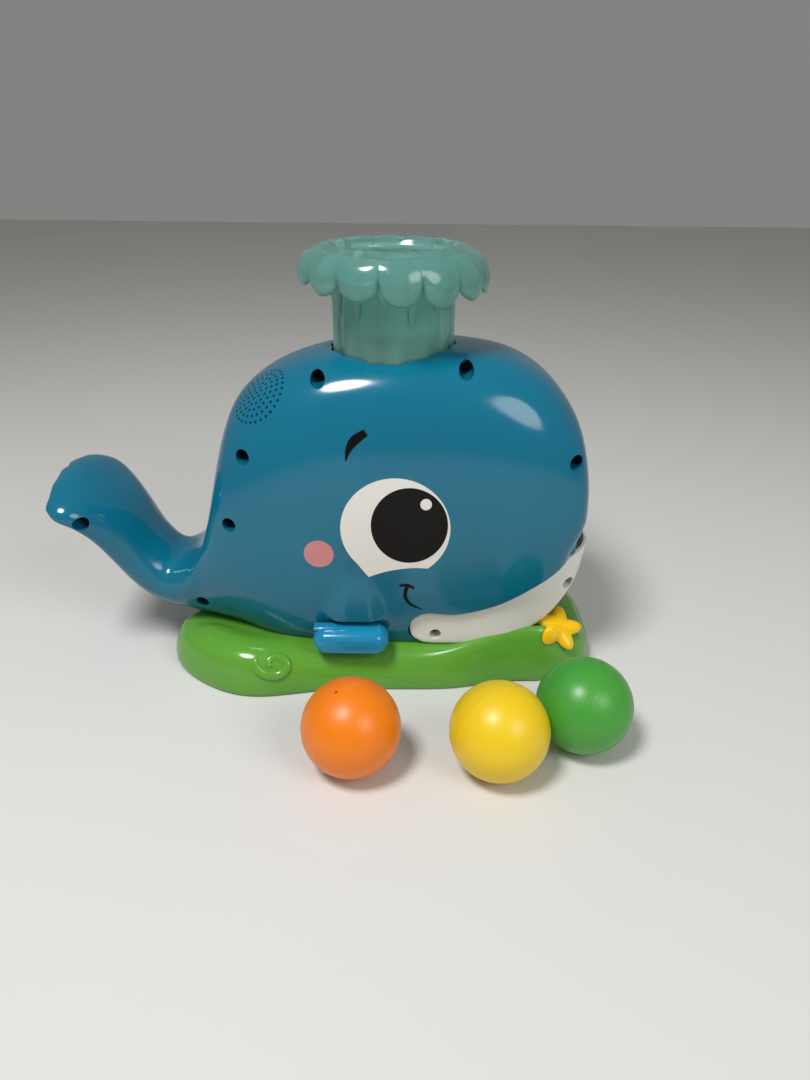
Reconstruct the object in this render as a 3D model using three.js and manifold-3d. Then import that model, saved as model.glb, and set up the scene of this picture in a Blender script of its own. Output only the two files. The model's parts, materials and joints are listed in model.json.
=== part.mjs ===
// Whale ball popper: balls dropped in the mouth are blown up a tube and out of the water spout.
// Millimetres, +Z up, +X towards the nose, -Y the whale's right flank. The origin is on the underside,
// below the axis of the spout.
import * as THREE from "three";
import { mergeVertices } from "three/addons/utils/BufferGeometryUtils.js";
import Module from "manifold-3d";

const wasm = await Module();
wasm.setup();

// Fits and facets
const CLEARANCE = 0.3;
const REVEAL = 0.6;
const ROUND = 24;
const SMALL_ROUND = 8;
const BEYOND = 400;

// Balls, and where they lie in front of the toy
const BALL_DIAMETER = 50;
const BALL_WALL = 1.4;
const BALL_VENT_DIAMETER = 1.8;
const BALLS = [
  { name: "ball_orange", colour: 0xf57c00, place: [-18.4, -121] },
  { name: "ball_yellow", colour: 0xf2c811, place: [55.2, -122.8] },
  { name: "ball_green", colour: 0x3f9c35, place: [101.2, -102] },
];

// Body: a loft from the nose to the edge of the fluke
const BODY_LENGTH = 306;
const NOSE_X = 110;
const CROWN_Z = 190;
const KEEL_Z = 7;
const BODY_HALF_WIDTH = 54;
const BODY_WALL = 2.4;
const BODY_SECTIONS = 23;
const SECTION_POINTS = 20;

// Shares of the body's length from the nose, of its height from the keel and of its half width
const BODY_STATIONS = [
  { top: [0.0, 0.59], belly: [0.0, 0.5], half: 0.33, square: 2.2 },
  { top: [0.01, 0.695], belly: [0.005, 0.38], half: 0.66, square: 2.4 },
  { top: [0.03, 0.797], belly: [0.026, 0.236], half: 0.82, square: 2.7 },
  { top: [0.082, 0.903], belly: [0.069, 0.115], half: 0.92, square: 3.0 },
  { top: [0.16, 0.974], belly: [0.15, 0.038], half: 0.98, square: 3.2 },
  { top: [0.278, 1.0], belly: [0.268, 0.005], half: 1.0, square: 3.4 },
  { top: [0.386, 0.998], belly: [0.386, 0.0], half: 1.0, square: 3.4 },
  { top: [0.484, 0.975], belly: [0.497, 0.0], half: 0.98, square: 3.3 },
  { top: [0.572, 0.924], belly: [0.582, 0.014], half: 0.945, square: 3.1 },
  { top: [0.636, 0.84], belly: [0.644, 0.044], half: 0.88, square: 2.9 },
  { top: [0.668, 0.73], belly: [0.699, 0.063], half: 0.79, square: 2.7 },
  { top: [0.683, 0.598], belly: [0.742, 0.082], half: 0.69, square: 2.6 },
  { top: [0.692, 0.478], belly: [0.781, 0.104], half: 0.605, square: 2.5 },
  { top: [0.719, 0.37], belly: [0.814, 0.126], half: 0.535, square: 2.4 },
  { top: [0.775, 0.305], belly: [0.846, 0.162], half: 0.49, square: 2.3 },
  { top: [0.817, 0.363], belly: [0.873, 0.209], half: 0.5, square: 2.3 },
  { top: [0.85, 0.456], belly: [0.895, 0.275], half: 0.56, square: 2.3 },
  { top: [0.882, 0.519], belly: [0.918, 0.357], half: 0.66, square: 2.3 },
  { top: [0.92, 0.553], belly: [0.939, 0.426], half: 0.77, square: 2.3 },
  { top: [0.952, 0.557], belly: [0.962, 0.464], half: 0.785, square: 2.3 },
  { top: [0.972, 0.543], belly: [0.976, 0.494], half: 0.68, square: 2.3 },
];

// Stretch of the loft that is hollow, and stretch in which bosses may stand
const INNER_STRETCH = [0.06, 0.9];
const BOSS_STRETCH = [0.02, 0.98];

// Base: a sea bed with two swollen lobes at the tail end and a waist beside the jaw
const BASE_HEIGHT = 24;
const BASE_MIDDLE_X = -6;
const BASE_HALF_LENGTH = 129;
const BASE_HALF_DEPTH = 59;
const BASE_SQUARE = 3.4;
const BASE_WALL = 2.4;
const BASE_POINTS = 34;
const LOBE_SWELL = 0.2;
const LOBE_X = -86;
const LOBE_SPREAD = 38;
const WAIST_NIP = 0.1;
const WAIST_X = 68;
const WAIST_SPREAD = 24;
const END_DENT = 6;
const END_DENT_SPREAD = 17;
const FLOOR_THICKNESS = 2.4;

// Shares of the base's height, and how far the surface lies inside its outline there
const BASE_PROFILE = [
  { rise: 0.0, inset: 1.4 },
  { rise: 0.1, inset: 0.0 },
  { rise: 0.36, inset: 0.4 },
  { rise: 0.6, inset: 2.2 },
  { rise: 0.8, inset: 5.4 },
  { rise: 0.94, inset: 10.5 },
  { rise: 1.0, inset: 17.0 },
];
const SWIRL_PLACE = [-66, -60, 14];
const SWIRL_TURNS = 1.6;
const SWIRL_RADIUS = 11;
const SWIRL_WIDTH = 2.6;
const SWIRL_RELIEF = 1.2;
const STAR_SETBACK = 22;
const STAR_Y = -29;
const STAR_RADIUS = 15.5;
const STAR_WAIST = 8.6;
const STAR_HEIGHT = 4.6;
const STAR_TURN = 0.35;
const STAR_ARMS = 5;
const STAR_BLUNT = 0.25;

// Ball riser: the tube above the air floor on which a ball rests
const RISER_PLAY = 4;
const RISER_WALL = 2.2;
const PLENUM_HEIGHT = 31;
const AIR_FLOOR = 3;
const AIR_HOLE_DIAMETER = 22;
const SPOUT_SOCKET_DEPTH = 22;

// Spout: a fluted tube under a ring of curled petals
const SPOUT_WALL = 2.0;
const SPOUT_RISE = 49;
const SPOUT_FLUTE = 0.7;
const SPOUT_STEP = 1.2;
const PETALS = 14;
const PETAL_STEPS = 4;
const PETAL_REACH = 17;
const PETAL_DROP = 23;
const PETAL_PHASE = -0.13;
const PETAL_LENGTHS = [0.92, 1.05, 0.9, 1.0, 0.88, 1.08, 0.95, 1.04, 0.9, 1.0, 0.94, 1.0, 1.06, 0.96];
const PETAL_NOTCH = 8;

// Mouth and jaw; heights are above the deck of the base
const MOUTH_PLAY = 4.5;
const MOUTH_TOP = 103;
const MOUTH_DEPTH = 40;
const LIP_RADIUS = 3.6;
const LIP_OVERHANG = 0.5;
const LIP_SETBACK = 4.5;
const LIP_FOOT = 10;
const LIP_STEPS = 8;
const JAW_REAR_X = 10;
const JAW_REAR_HEIGHT = 24;
const JAW_TIP_X = 116;
const JAW_RIM = 54;
const JAW_WALL = 2.2;
const JAW_INSET = 2.4;
const JAW_LEAN = 0.1;
const TRAY_PLAY = 3;
const TRAY_WALL = 2;
const TRAY_SLOPE = 0.06;
const TRAY_CURB = 6;
const JAW_RIB_X = 60;
const JAW_RIB_HALF = 1.2;
const JAW_SQUARE = 2.5;
const JAW_RING_STEPS = 12;
const JAW_BOSS_RADIUS = 4.2;
const JAW_WELL_RADIUS = 3.4;
const JAW_LUG_DEPTH = 19;
const JAW_LUG_HALF = 4;
const JAW_LUG_THICKNESS = 5;
const TRAY_SETBACK = 4;

// Upper edge of the jaw as shares of its length and rim height; underside as setback and share of height
const JAW_EDGE = [[0.28, 0.425], [0.49, 0.55], [0.7, 0.79], [0.86, 0.98]];
const JAW_UNDERSIDE = [[8, 0.6], [25, 0.28], [44, 0.09]];
const JAW_SEAT_SETBACK = 58;

// Screws
const SCREW_SHAFT = 1.3;
const SCREW_HEAD = 3.1;
const SCREW_HEAD_HEIGHT = 1.6;
const BODY_SCREW_LENGTH = 22;
const BASE_SCREW_LENGTH = 15;
const DOOR_SCREW_LENGTH = 8;
const LUG_SCREW_LENGTH = 10;
const WELL_RADIUS = 3.9;
const BOSS_RADIUS = 5.6;
const NOSE_RADIUS = 3.5;
const POST_RADIUS = 4.2;
const SEAT_DEPTH = 12;
const SEAT_THICKNESS = 2.4;
const BASE_SCREW_REAR_SHARE = [0.647, 0.444];

// Body screws: drops below the crown beside the spout, then shares of the body's length and height
const CROWN_SCREW_DROPS = [13, 8];
const BODY_SCREW_SHARES = [[0.0425, 0.702], [0.614, 0.71], [0.647, 0.503], [0.7255, 0.186], [0.918, 0.484]];
const BASE_SCREW_FRONT_Y = 27;

// Flipper, pressed down to start the blower
const FLIPPER_X = -22.5;
const FLIPPER_LENGTH = 43;
const FLIPPER_THICKNESS = 16;
const FLIPPER_RISE = 9.5;
const FLIPPER_REACH = 10.5;
const FLIPPER_ROOT = 30;
const FLIPPER_ROOT_THICKNESS = 5;
const FLIPPER_PIVOT_GAP = 3.8;
const FLIPPER_PIN_RADIUS = 1.5;
const FLIPPER_BARREL = 3.2;
const FLIPPER_EDGE = 2.5;
const FLIPPER_TUCK = 3;
const EAR_THICKNESS = 3;
const EAR_HALF = 3;

// Sleeve that swells out of the flank above the flipper: shares of its height, half widths and swells
const SLEEVE_FOOT = 19.5;
const SLEEVE_HEIGHT = 34;
const SLEEVE_ROOT = 12;
const SLEEVE_POINTS = 12;
const SLEEVE_RINGS = [
  { rise: 0, half: 17.5, swell: 4.6 },
  { rise: 0.3, half: 14.5, swell: 3.6 },
  { rise: 0.65, half: 10, swell: 1.8 },
  { rise: 1, half: 5, swell: -1 },
];
const SPRING_RADIUS = 2.6;
const SPRING_WIRE = 0.7;
const SPRING_TURNS = 4;
const SPRING_TURN_STEPS = 6;
const SPRING_OFFSET = 7;
const START_SWITCH_SIZE = 6;
const START_SWITCH_HEIGHT = 4;
const START_SWITCH_GAP = 1.2;
const PLUNGER_RADIUS = 1.6;

// Blower: fan in a scroll housing whose duct feeds the plenum below the air floor
const FAN_RADIUS = 19;
const FAN_WIDTH = 16;
const FAN_BLADES = 9;
const SCROLL_TONGUE_GAP = 2.5;
const SCROLL_GROWTH = 6.5;
const SCROLL_WALL = 1.8;
const DUCT_HEIGHT = 14;
const BLOWER_X = -60;
const BLOWER_RISE = 42;
const INTAKE_RADIUS = 12;
const MOTOR_RADIUS = 11;
const MOTOR_LENGTH = 24;
const MOTOR_SHAFT_RADIUS = 1;
const MOTOR_BEARING = [4, 2];
const FAN_HUB = [4, 11];
const FAN_DISC = 1.6;
const SCROLL_STEPS = 24;
const SCROLL_FIRST = -0.22 * Math.PI;
const BLOWER_FOOT = [12, 8];

// Batteries
const CELL_DIAMETER = 14.5;
const CELL_LENGTH = 50.5;
const CELL_COUNT = 4;
const CELL_PITCH = 15.4;
const CONTACT_SPACE = 5;
const BATTERY_X = -48;
const DOOR_THICKNESS = 3.2;
const DOOR_LEDGE = 2;
const DOOR_SCREW_LEDGE = 9;
const BAY_WALL = 1.8;
const STRIP_THICKNESS = 0.6;
const STRIP_HALF = 4;
const DIMPLE_RADII = [1.6, 3];
const CELL_BUTTON = [2.8, 1.5];

// Electrics
const KNOB_Y = 8;
const KNOB_STATION = 11.1;
const KNOB_RADIUS = 3;
const KNOB_TRAVEL = 6;
const KNOB_STEM = 1.2;
const KNOB_LIFT = 0.6;
const SWITCH_PAD_DEPTH = 5.5;
const SWITCH_HALF = [4, 8.5];
const SWITCH_DEPTH = 6;
const STEM_REACH = 2.5;
const SPEAKER_RADIUS = 17.5;
const SPEAKER_DEPTH = 12;
const SPEAKER_SIDES = 12;
const SPEAKER_SETBACK = 9.5;
const CUP_WALL = 2;
const CUP_SPAN = [-13, 6];
const GRILLE_HOLE_RADIUS = 1.2;
const GRILLE_PITCH = 5.6;
const GRILLE_RINGS = 2;
const GRILLE_DEPTH = 16;
const GRILLE_SHARE = [0.588, 0.866];
const GRILLE_SIDE = 0.444;
const GRILLE_NORMAL = new THREE.Vector3(-0.608, -0.332, 0.722).normalize();
const BOARD_SIZE = [44, 1.6, 38];
const BOARD_Y = 30;
const BOARD_DROP = 14;
const BOARD_POST_RADIUS = 2.6;
const BOARD_POST_INSET = 4;

// Worked-out sizes
const ballRadius = BALL_DIAMETER / 2;
const deckZ = BASE_HEIGHT;
const seatZ = deckZ + CLEARANCE;
const riserBore = ballRadius + RISER_PLAY;
const riserRadius = riserBore + RISER_WALL;
const airFloorZ = deckZ + PLENUM_HEIGHT;
const riserTopZ = CROWN_Z - SPOUT_SOCKET_DEPTH;
const spoutBore = riserBore + SPOUT_STEP;
const spoutRadius = spoutBore + SPOUT_WALL;
const spoutTopZ = CROWN_Z + SPOUT_RISE;
const spoutHole = spoutRadius + SPOUT_FLUTE + CLEARANCE;
const mouthHalf = ballRadius + MOUTH_PLAY;
const mouthTopZ = deckZ + MOUTH_TOP;
const partingY = CLEARANCE / 2;
const baseScrewRear = [
  NOSE_X - BASE_SCREW_REAR_SHARE[0] * BODY_LENGTH,
  BASE_SCREW_REAR_SHARE[1] * BODY_HALF_WIDTH,
];

// Shape helpers
function solid(geometry) {
  const bare = geometry.clone();
  bare.deleteAttribute("normal");
  bare.deleteAttribute("uv");
  const merged = mergeVertices(bare, 1e-4);
  const build = (triVerts) => {
    const mesh = new wasm.Mesh({
      numProp: 3,
      vertProperties: new Float32Array(merged.attributes.position.array),
      triVerts,
    });
    return new wasm.Manifold(mesh);
  };
  const triangles = [];
  const index = merged.index.array;
  for (let i = 0; i < index.length; i += 3) {
    const [a, b, c] = [index[i], index[i + 1], index[i + 2]];
    if (a !== b && b !== c && c !== a) {
      triangles.push(a, b, c);
    }
  }
  const body = build(new Uint32Array(triangles));
  if (body.volume() > 0) {
    return body;
  }
  return build(new Uint32Array(triangles.reverse()));
}

function geometryOf(body) {
  const mesh = body.getMesh();
  const geometry = new THREE.BufferGeometry();
  geometry.setAttribute("position", new THREE.BufferAttribute(new Float32Array(mesh.vertProperties), 3));
  geometry.setIndex(new THREE.BufferAttribute(new Uint32Array(mesh.triVerts), 1));
  geometry.computeVertexNormals();
  return geometry;
}

function block(x0, x1, y0, y1, z0, z1) {
  const geometry = new THREE.BoxGeometry(x1 - x0, y1 - y0, z1 - z0);
  geometry.translate((x0 + x1) / 2, (y0 + y1) / 2, (z0 + z1) / 2);
  return solid(geometry);
}

function rodY(radius, from, to, x, z, sides = SMALL_ROUND) {
  const geometry = new THREE.CylinderGeometry(radius, radius, to - from, sides);
  geometry.translate(x, (from + to) / 2, z);
  return solid(geometry);
}

function rodZ(radius, from, to, x, y, sides = SMALL_ROUND) {
  const geometry = new THREE.CylinderGeometry(radius, radius, to - from, sides);
  geometry.rotateX(Math.PI / 2);
  geometry.translate(x, y, (from + to) / 2);
  return solid(geometry);
}

function rodX(radius, from, to, y, z, sides = SMALL_ROUND) {
  const geometry = new THREE.CylinderGeometry(radius, radius, to - from, sides);
  geometry.rotateZ(Math.PI / 2);
  geometry.translate((from + to) / 2, y, z);
  return solid(geometry);
}

// A turned piece: pairs of radius and height along the Y axis
function turned(profile, sides = SMALL_ROUND) {
  return new THREE.LatheGeometry(profile.map(([r, y]) => new THREE.Vector2(r, y)), sides);
}

// A flat outline drawn in X and Z, extruded along Y
function slabY(shape, from, to, curveSegments = 8) {
  const geometry = new THREE.ExtrudeGeometry(shape, { depth: to - from, bevelEnabled: false, curveSegments });
  geometry.rotateX(Math.PI / 2);
  geometry.translate(0, to, 0);
  return solid(geometry);
}

// A flat outline drawn in X and Y, extruded along Z
function slabZ(shape, from, to, curveSegments = 8) {
  const geometry = new THREE.ExtrudeGeometry(shape, { depth: to - from, bevelEnabled: false, curveSegments });
  geometry.translate(0, 0, from);
  return solid(geometry);
}

function quads(rows, columns, wrapRows) {
  const index = [];
  const rowSteps = wrapRows ? rows : rows - 1;
  for (let r = 0; r < rowSteps; r += 1) {
    for (let k = 0; k < columns; k += 1) {
      const a = r * columns + k;
      const b = r * columns + ((k + 1) % columns);
      const c = ((r + 1) % rows) * columns + ((k + 1) % columns);
      const d = ((r + 1) % rows) * columns + k;
      index.push(a, b, c, a, c, d);
    }
  }
  return index;
}

// A solid through closed rings of points, closed at both ends
function loft(rings) {
  const columns = rings[0].length;
  const points = rings.flat();
  const index = quads(rings.length, columns, false);
  const lastRow = (rings.length - 1) * columns;
  const middle = (ring) => ring.reduce((sum, p) => sum.add(p), new THREE.Vector3()).divideScalar(columns);
  points.push(middle(rings[0]), middle(rings[rings.length - 1]));
  for (let k = 0; k < columns; k += 1) {
    const next = (k + 1) % columns;
    index.push(points.length - 2, next, k);
    index.push(points.length - 1, lastRow + k, lastRow + next);
  }
  const geometry = new THREE.BufferGeometry().setFromPoints(points);
  geometry.setIndex(index);
  return solid(geometry);
}

// A solid ring: closed profiles carried round an axis
function ringLoft(profiles) {
  const geometry = new THREE.BufferGeometry().setFromPoints(profiles.flat());
  geometry.setIndex(quads(profiles.length, profiles[0].length, true));
  return solid(geometry);
}

function signedPower(value, exponent) {
  return Math.sign(value) * Math.abs(value) ** exponent;
}

function superellipse(angle, square) {
  return [signedPower(Math.cos(angle), 2 / square), signedPower(Math.sin(angle), 2 / square)];
}

// The group that holds the toy, and its finishes
const toy = new THREE.Group();

function finish(colour, roughness, metalness = 0) {
  return new THREE.MeshStandardMaterial({ color: colour, roughness, metalness });
}

function add(name, shape, material) {
  const geometry = shape instanceof THREE.BufferGeometry ? shape : geometryOf(shape);
  const mesh = new THREE.Mesh(geometry, material);
  mesh.name = name;
  toy.add(mesh);
  return mesh;
}

const bluePlastic = () => finish(0x1582a6, 0.25);
const lightBluePlastic = () => finish(0x1e90be, 0.25);
const greenPlastic = () => finish(0x5fa53a, 0.3);
const whitePlastic = () => finish(0xe8e6e0, 0.35);
const yellowPlastic = () => finish(0xf2c010, 0.3);
const tealPlastic = () => finish(0x6db8a4, 0.3);
const greyPlastic = () => finish(0x55595c, 0.5);
const redPlastic = () => finish(0xb0102a, 0.3);
const steel = () => finish(0x9a9ca0, 0.35, 1);

// Body loft
const bodyPoint = ([along, up]) =>
  new THREE.Vector3(NOSE_X - along * BODY_LENGTH, 0, KEEL_Z + up * (CROWN_Z - KEEL_Z));
const throughStations = (place) =>
  new THREE.CatmullRomCurve3(BODY_STATIONS.map(place), false, "catmullrom", 0.5);
const topLine = throughStations((s) => bodyPoint(s.top));
const bellyLine = throughStations((s) => bodyPoint(s.belly));
const girthLine = throughStations((s) => new THREE.Vector3(s.half * BODY_HALF_WIDTH, s.square, 0));

function bodySection(t, wall) {
  const top = topLine.getPoint(t);
  const belly = bellyLine.getPoint(t);
  const girth = girthLine.getPoint(t);
  const middle = top.clone().add(belly).multiplyScalar(0.5);
  const up = top.clone().sub(belly).normalize();
  const halfHeight = top.distanceTo(belly) / 2 - wall;
  const ring = [];
  for (let k = 0; k < SECTION_POINTS; k += 1) {
    const [rise, side] = superellipse((2 * Math.PI * k) / SECTION_POINTS, girth.y);
    const point = middle.clone().addScaledVector(up, halfHeight * rise);
    point.y = (girth.x - wall) * side;
    ring.push(point);
  }
  return ring;
}

function bodyLoft(from, to, wall) {
  const count = Math.round((to - from) * BODY_SECTIONS);
  const rings = [];
  for (let k = 0; k <= count; k += 1) {
    rings.push(bodySection(from + ((to - from) * k) / count, wall));
  }
  return loft(rings);
}

// Lip: a round bead over the arch of the mouth, swept back at its feet
function mouthLip() {
  const half = mouthHalf + LIP_RADIUS * LIP_OVERHANG;
  const springZ = mouthTopZ - mouthHalf;
  const path = [];
  const place = (y, z) => new THREE.Vector3(NOSE_X - LIP_SETBACK * (1 + (y / half) ** 2), y, z);
  path.push(place(-half, deckZ + JAW_RIM - LIP_FOOT));
  for (let k = 0; k <= LIP_STEPS; k += 1) {
    const angle = Math.PI * (1 - k / LIP_STEPS);
    path.push(place(half * Math.cos(angle), springZ + half * Math.sin(angle)));
  }
  path.push(place(half, deckZ + JAW_RIM - LIP_FOOT));
  const section = new THREE.Shape().absarc(0, 0, LIP_RADIUS, 0, 2 * Math.PI);
  const curve = new THREE.CatmullRomCurve3(path);
  const sweep = { steps: 2 * LIP_STEPS, curveSegments: 4, extrudePath: curve };
  return solid(new THREE.ExtrudeGeometry(section, sweep));
}

// Sleeve on one flank, rooted inside it
function flipperSleeve(side) {
  return loft(SLEEVE_RINGS.map(({ rise, half, swell }) => {
    const ring = [];
    for (let k = 0; k < SLEEVE_POINTS; k += 1) {
      const [along, across] = superellipse((2 * Math.PI * k) / SLEEVE_POINTS, 2.6);
      const y = side * (BODY_HALF_WIDTH - SLEEVE_ROOT) + across * (SLEEVE_ROOT + swell);
      ring.push(new THREE.Vector3(FLIPPER_X + along * half, y, deckZ + SLEEVE_FOOT + rise * SLEEVE_HEIGHT));
    }
    return ring;
  }));
}

const bodyOuter = bodyLoft(0, 1, 0).add(mouthLip()).add(flipperSleeve(-1)).add(flipperSleeve(1));
const bodyInner = bodyLoft(...INNER_STRETCH, BODY_WALL);

// Bosses end inside the wall
const bossLimit = bodyLoft(...BOSS_STRETCH, BODY_WALL / 2);

// Jaw outline in side view, grown all round by an amount
function jawOutline(grow) {
  const radius = JAW_REAR_HEIGHT / 2;
  const shape = new THREE.Shape();
  const lift = (x, height) => new THREE.Vector2(x, deckZ + height + grow);
  shape.moveTo(JAW_REAR_X + radius, seatZ - grow);
  const quarter = Math.PI / 2;
  shape.absarc(JAW_REAR_X + radius, deckZ + radius, radius - CLEARANCE + grow, -quarter, quarter, true);
  shape.splineThru([
    ...JAW_EDGE.map(([along, up]) => lift(JAW_REAR_X + along * (JAW_TIP_X - JAW_REAR_X), up * JAW_RIM)),
    lift(JAW_TIP_X - 2, JAW_RIM),
  ]);
  shape.quadraticCurveTo(JAW_TIP_X + 1, deckZ + JAW_RIM, JAW_TIP_X, deckZ + 0.85 * JAW_RIM);
  shape.splineThru([
    ...JAW_UNDERSIDE.map(([back, up]) => new THREE.Vector2(JAW_TIP_X - back, deckZ + up * JAW_RIM)),
    new THREE.Vector2(JAW_TIP_X - JAW_SEAT_SETBACK, seatZ),
  ]);
  return shape;
}

// Everything of the body shells that the jaw takes up: from its upper edge down past the deck
function jawSpace() {
  const upper = slabY(jawOutline(REVEAL), -BEYOND, BEYOND, 4);
  const below = block(JAW_REAR_X + JAW_REAR_HEIGHT / 2, BEYOND, -BEYOND, BEYOND, -1, deckZ + 0.4 * JAW_RIM);
  const ahead = block(JAW_TIP_X - 30, BEYOND, -BEYOND, BEYOND, -1, deckZ + 0.75 * JAW_RIM);
  return upper.add(below).add(ahead);
}

// Mouth arch, seen from the front
function mouthArch() {
  const shape = new THREE.Shape();
  const springZ = mouthTopZ - mouthHalf;
  shape.moveTo(-mouthHalf, deckZ);
  shape.lineTo(mouthHalf, deckZ);
  shape.lineTo(mouthHalf, springZ);
  shape.absarc(0, springZ, mouthHalf, 0, Math.PI, false);
  const depth = { depth: BEYOND, bevelEnabled: false, curveSegments: 10 };
  const geometry = new THREE.ExtrudeGeometry(shape, depth);
  geometry.rotateX(Math.PI / 2);
  geometry.rotateZ(Math.PI / 2);
  geometry.translate(JAW_TIP_X - MOUTH_DEPTH, 0, 0);
  return solid(geometry);
}

// Body screws: a well in the right half, a nose that meets the pilot boss of the left half
const bossX = spoutHole + NOSE_RADIUS + 1;
const BODY_SCREWS = [
  [-bossX, CROWN_Z - CROWN_SCREW_DROPS[0]],
  [bossX, CROWN_Z - CROWN_SCREW_DROPS[1]],
  ...BODY_SCREW_SHARES.map(bodyPoint).map((p) => [p.x, p.z]),
];

function screwWell([x, z]) {
  const barrel = rodY(BOSS_RADIUS, -BEYOND, -SEAT_DEPTH + SEAT_THICKNESS, x, z);
  return barrel.add(rodY(NOSE_RADIUS, -SEAT_DEPTH, -partingY, x, z)).intersect(bossLimit);
}

function screwWellCut([x, z]) {
  const well = rodY(WELL_RADIUS, -BEYOND, -SEAT_DEPTH, x, z);
  return well.add(rodY(SCREW_SHAFT + CLEARANCE, -SEAT_DEPTH - 1, BODY_SCREW_LENGTH - SEAT_DEPTH + 1, x, z));
}

function pilotBoss([x, z]) {
  return rodY(NOSE_RADIUS, partingY, BEYOND, x, z).intersect(bossLimit);
}

// Posts that take the long screws from below
function baseScrewPost(x, y) {
  return rodZ(POST_RADIUS, seatZ, seatZ + BASE_SCREW_LENGTH, x, y);
}

function baseScrewPilot(x, y) {
  return rodZ(SCREW_SHAFT + CLEARANCE, deckZ - BASE_HEIGHT, seatZ + BASE_SCREW_LENGTH - 2, x, y);
}

// Grille frame: Z of the frame is the outward normal at the middle of the grille
const grilleCentre = bodyPoint(GRILLE_SHARE).setY(-GRILLE_SIDE * BODY_HALF_WIDTH);
const grilleFrame = new THREE.Matrix4().compose(
  grilleCentre,
  new THREE.Quaternion().setFromUnitVectors(new THREE.Vector3(0, 1, 0), GRILLE_NORMAL),
  new THREE.Vector3(1, 1, 1),
);

function inGrille(geometry) {
  return solid(geometry.applyMatrix4(grilleFrame));
}

function grilleHoles() {
  const holes = [];
  for (let ring = 0; ring <= GRILLE_RINGS; ring += 1) {
    const count = Math.max(1, 6 * ring);
    for (let k = 0; k < count; k += 1) {
      const angle = (2 * Math.PI * k) / count;
      const hole = new THREE.CylinderGeometry(GRILLE_HOLE_RADIUS, GRILLE_HOLE_RADIUS, GRILLE_DEPTH, 5);
      hole.translate(ring * GRILLE_PITCH * Math.cos(angle), 0, ring * GRILLE_PITCH * Math.sin(angle));
      holes.push(inGrille(hole));
    }
  }
  return wasm.Manifold.union(holes);
}

function speakerCup() {
  const inner = SPEAKER_RADIUS + CLEARANCE;
  const outer = inner + CUP_WALL;
  const [back, front] = CUP_SPAN;
  const wall = [[inner, back], [outer, back], [outer, front], [inner, front], [inner, back]];
  const cup = turned(wall, SPEAKER_SIDES);
  return inGrille(cup).intersect(bossLimit);
}

// Knob frame: X points out of the back of the body, Z runs up along it
const knobT = KNOB_STATION / (BODY_STATIONS.length - 1);
const knobStep = 0.02;
const knobSpot = topLine.getPoint(knobT);
const knobUp = topLine.getPoint(knobT - knobStep).sub(topLine.getPoint(knobT + knobStep)).normalize();
const knobOut = new THREE.Vector3(0, 1, 0).cross(knobUp).multiplyScalar(-1);
const knobFrame = new THREE.Matrix4()
  .makeBasis(knobOut, new THREE.Vector3().crossVectors(knobUp, knobOut), knobUp)
  .setPosition(knobSpot.x, KNOB_Y, knobSpot.z);

function inKnob(geometry) {
  return solid(geometry.applyMatrix4(knobFrame));
}

function boxGeometry(x0, x1, y0, y1, z0, z1) {
  const geometry = new THREE.BoxGeometry(x1 - x0, y1 - y0, z1 - z0);
  return geometry.translate((x0 + x1) / 2, (y0 + y1) / 2, (z0 + z1) / 2);
}

const slotHalf = KNOB_STEM + CLEARANCE;
const slotEnd = slotHalf + 0.5;

function switchPad() {
  const [halfY, halfZ] = SWITCH_HALF;
  const pad = boxGeometry(-SWITCH_PAD_DEPTH, BODY_WALL, -halfY - 1, halfY + 1, -halfZ, halfZ);
  return inKnob(pad).intersect(bossLimit);
}

function knobSlot(depth) {
  return inKnob(boxGeometry(-depth, SWITCH_PAD_DEPTH, -slotHalf, slotHalf, -slotEnd, KNOB_TRAVEL + slotEnd));
}

// Flipper window: the root of the flipper passes through the flank, open down to the deck
const flipperZ = deckZ + FLIPPER_RISE;
const flipperY = BODY_HALF_WIDTH - FLIPPER_TUCK;
const rootZ = flipperZ - FLIPPER_ROOT_THICKNESS / 2 + 1;
const pivotY = riserRadius + FLIPPER_PIVOT_GAP;
const pivotZ = rootZ + FLIPPER_ROOT_THICKNESS / 2;

function flipperWindow() {
  const half = FLIPPER_ROOT / 2 + 1;
  const top = rootZ + FLIPPER_ROOT_THICKNESS + 1.5;
  return block(FLIPPER_X - half, FLIPPER_X + half, -BEYOND, BEYOND, -1, top);
}

// Body halves
const bodySkin = bodyOuter.subtract(bodyInner);
const spoutCut = rodZ(spoutHole, riserTopZ, CROWN_Z + 20, 0, 0, ROUND);
const shellCuts = jawSpace().add(mouthArch()).add(spoutCut).add(flipperWindow());

function rightShell() {
  const half = block(-BEYOND, BEYOND, -BEYOND, -partingY, seatZ, BEYOND);
  const [rearX, rearY] = baseScrewRear;
  let shell = bodySkin.add(speakerCup());
  BODY_SCREWS.forEach((place) => {
    shell = shell.add(screwWell(place));
  });
  shell = shell.add(baseScrewPost(rearX, -rearY).intersect(bossLimit));
  shell = shell.intersect(half).subtract(shellCuts).subtract(grilleHoles());
  BODY_SCREWS.forEach((place) => {
    shell = shell.subtract(screwWellCut(place));
  });
  return shell.subtract(baseScrewPilot(rearX, -rearY));
}

const boardMiddle = [BLOWER_X, deckZ + BLOWER_RISE - BOARD_DROP];
const boardPosts = [-1, 1].flatMap((sx) => [-1, 1].map((sz) => [
  boardMiddle[0] + sx * (BOARD_SIZE[0] / 2 - BOARD_POST_INSET),
  boardMiddle[1] + sz * (BOARD_SIZE[2] / 2 - BOARD_POST_INSET),
]));

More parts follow.
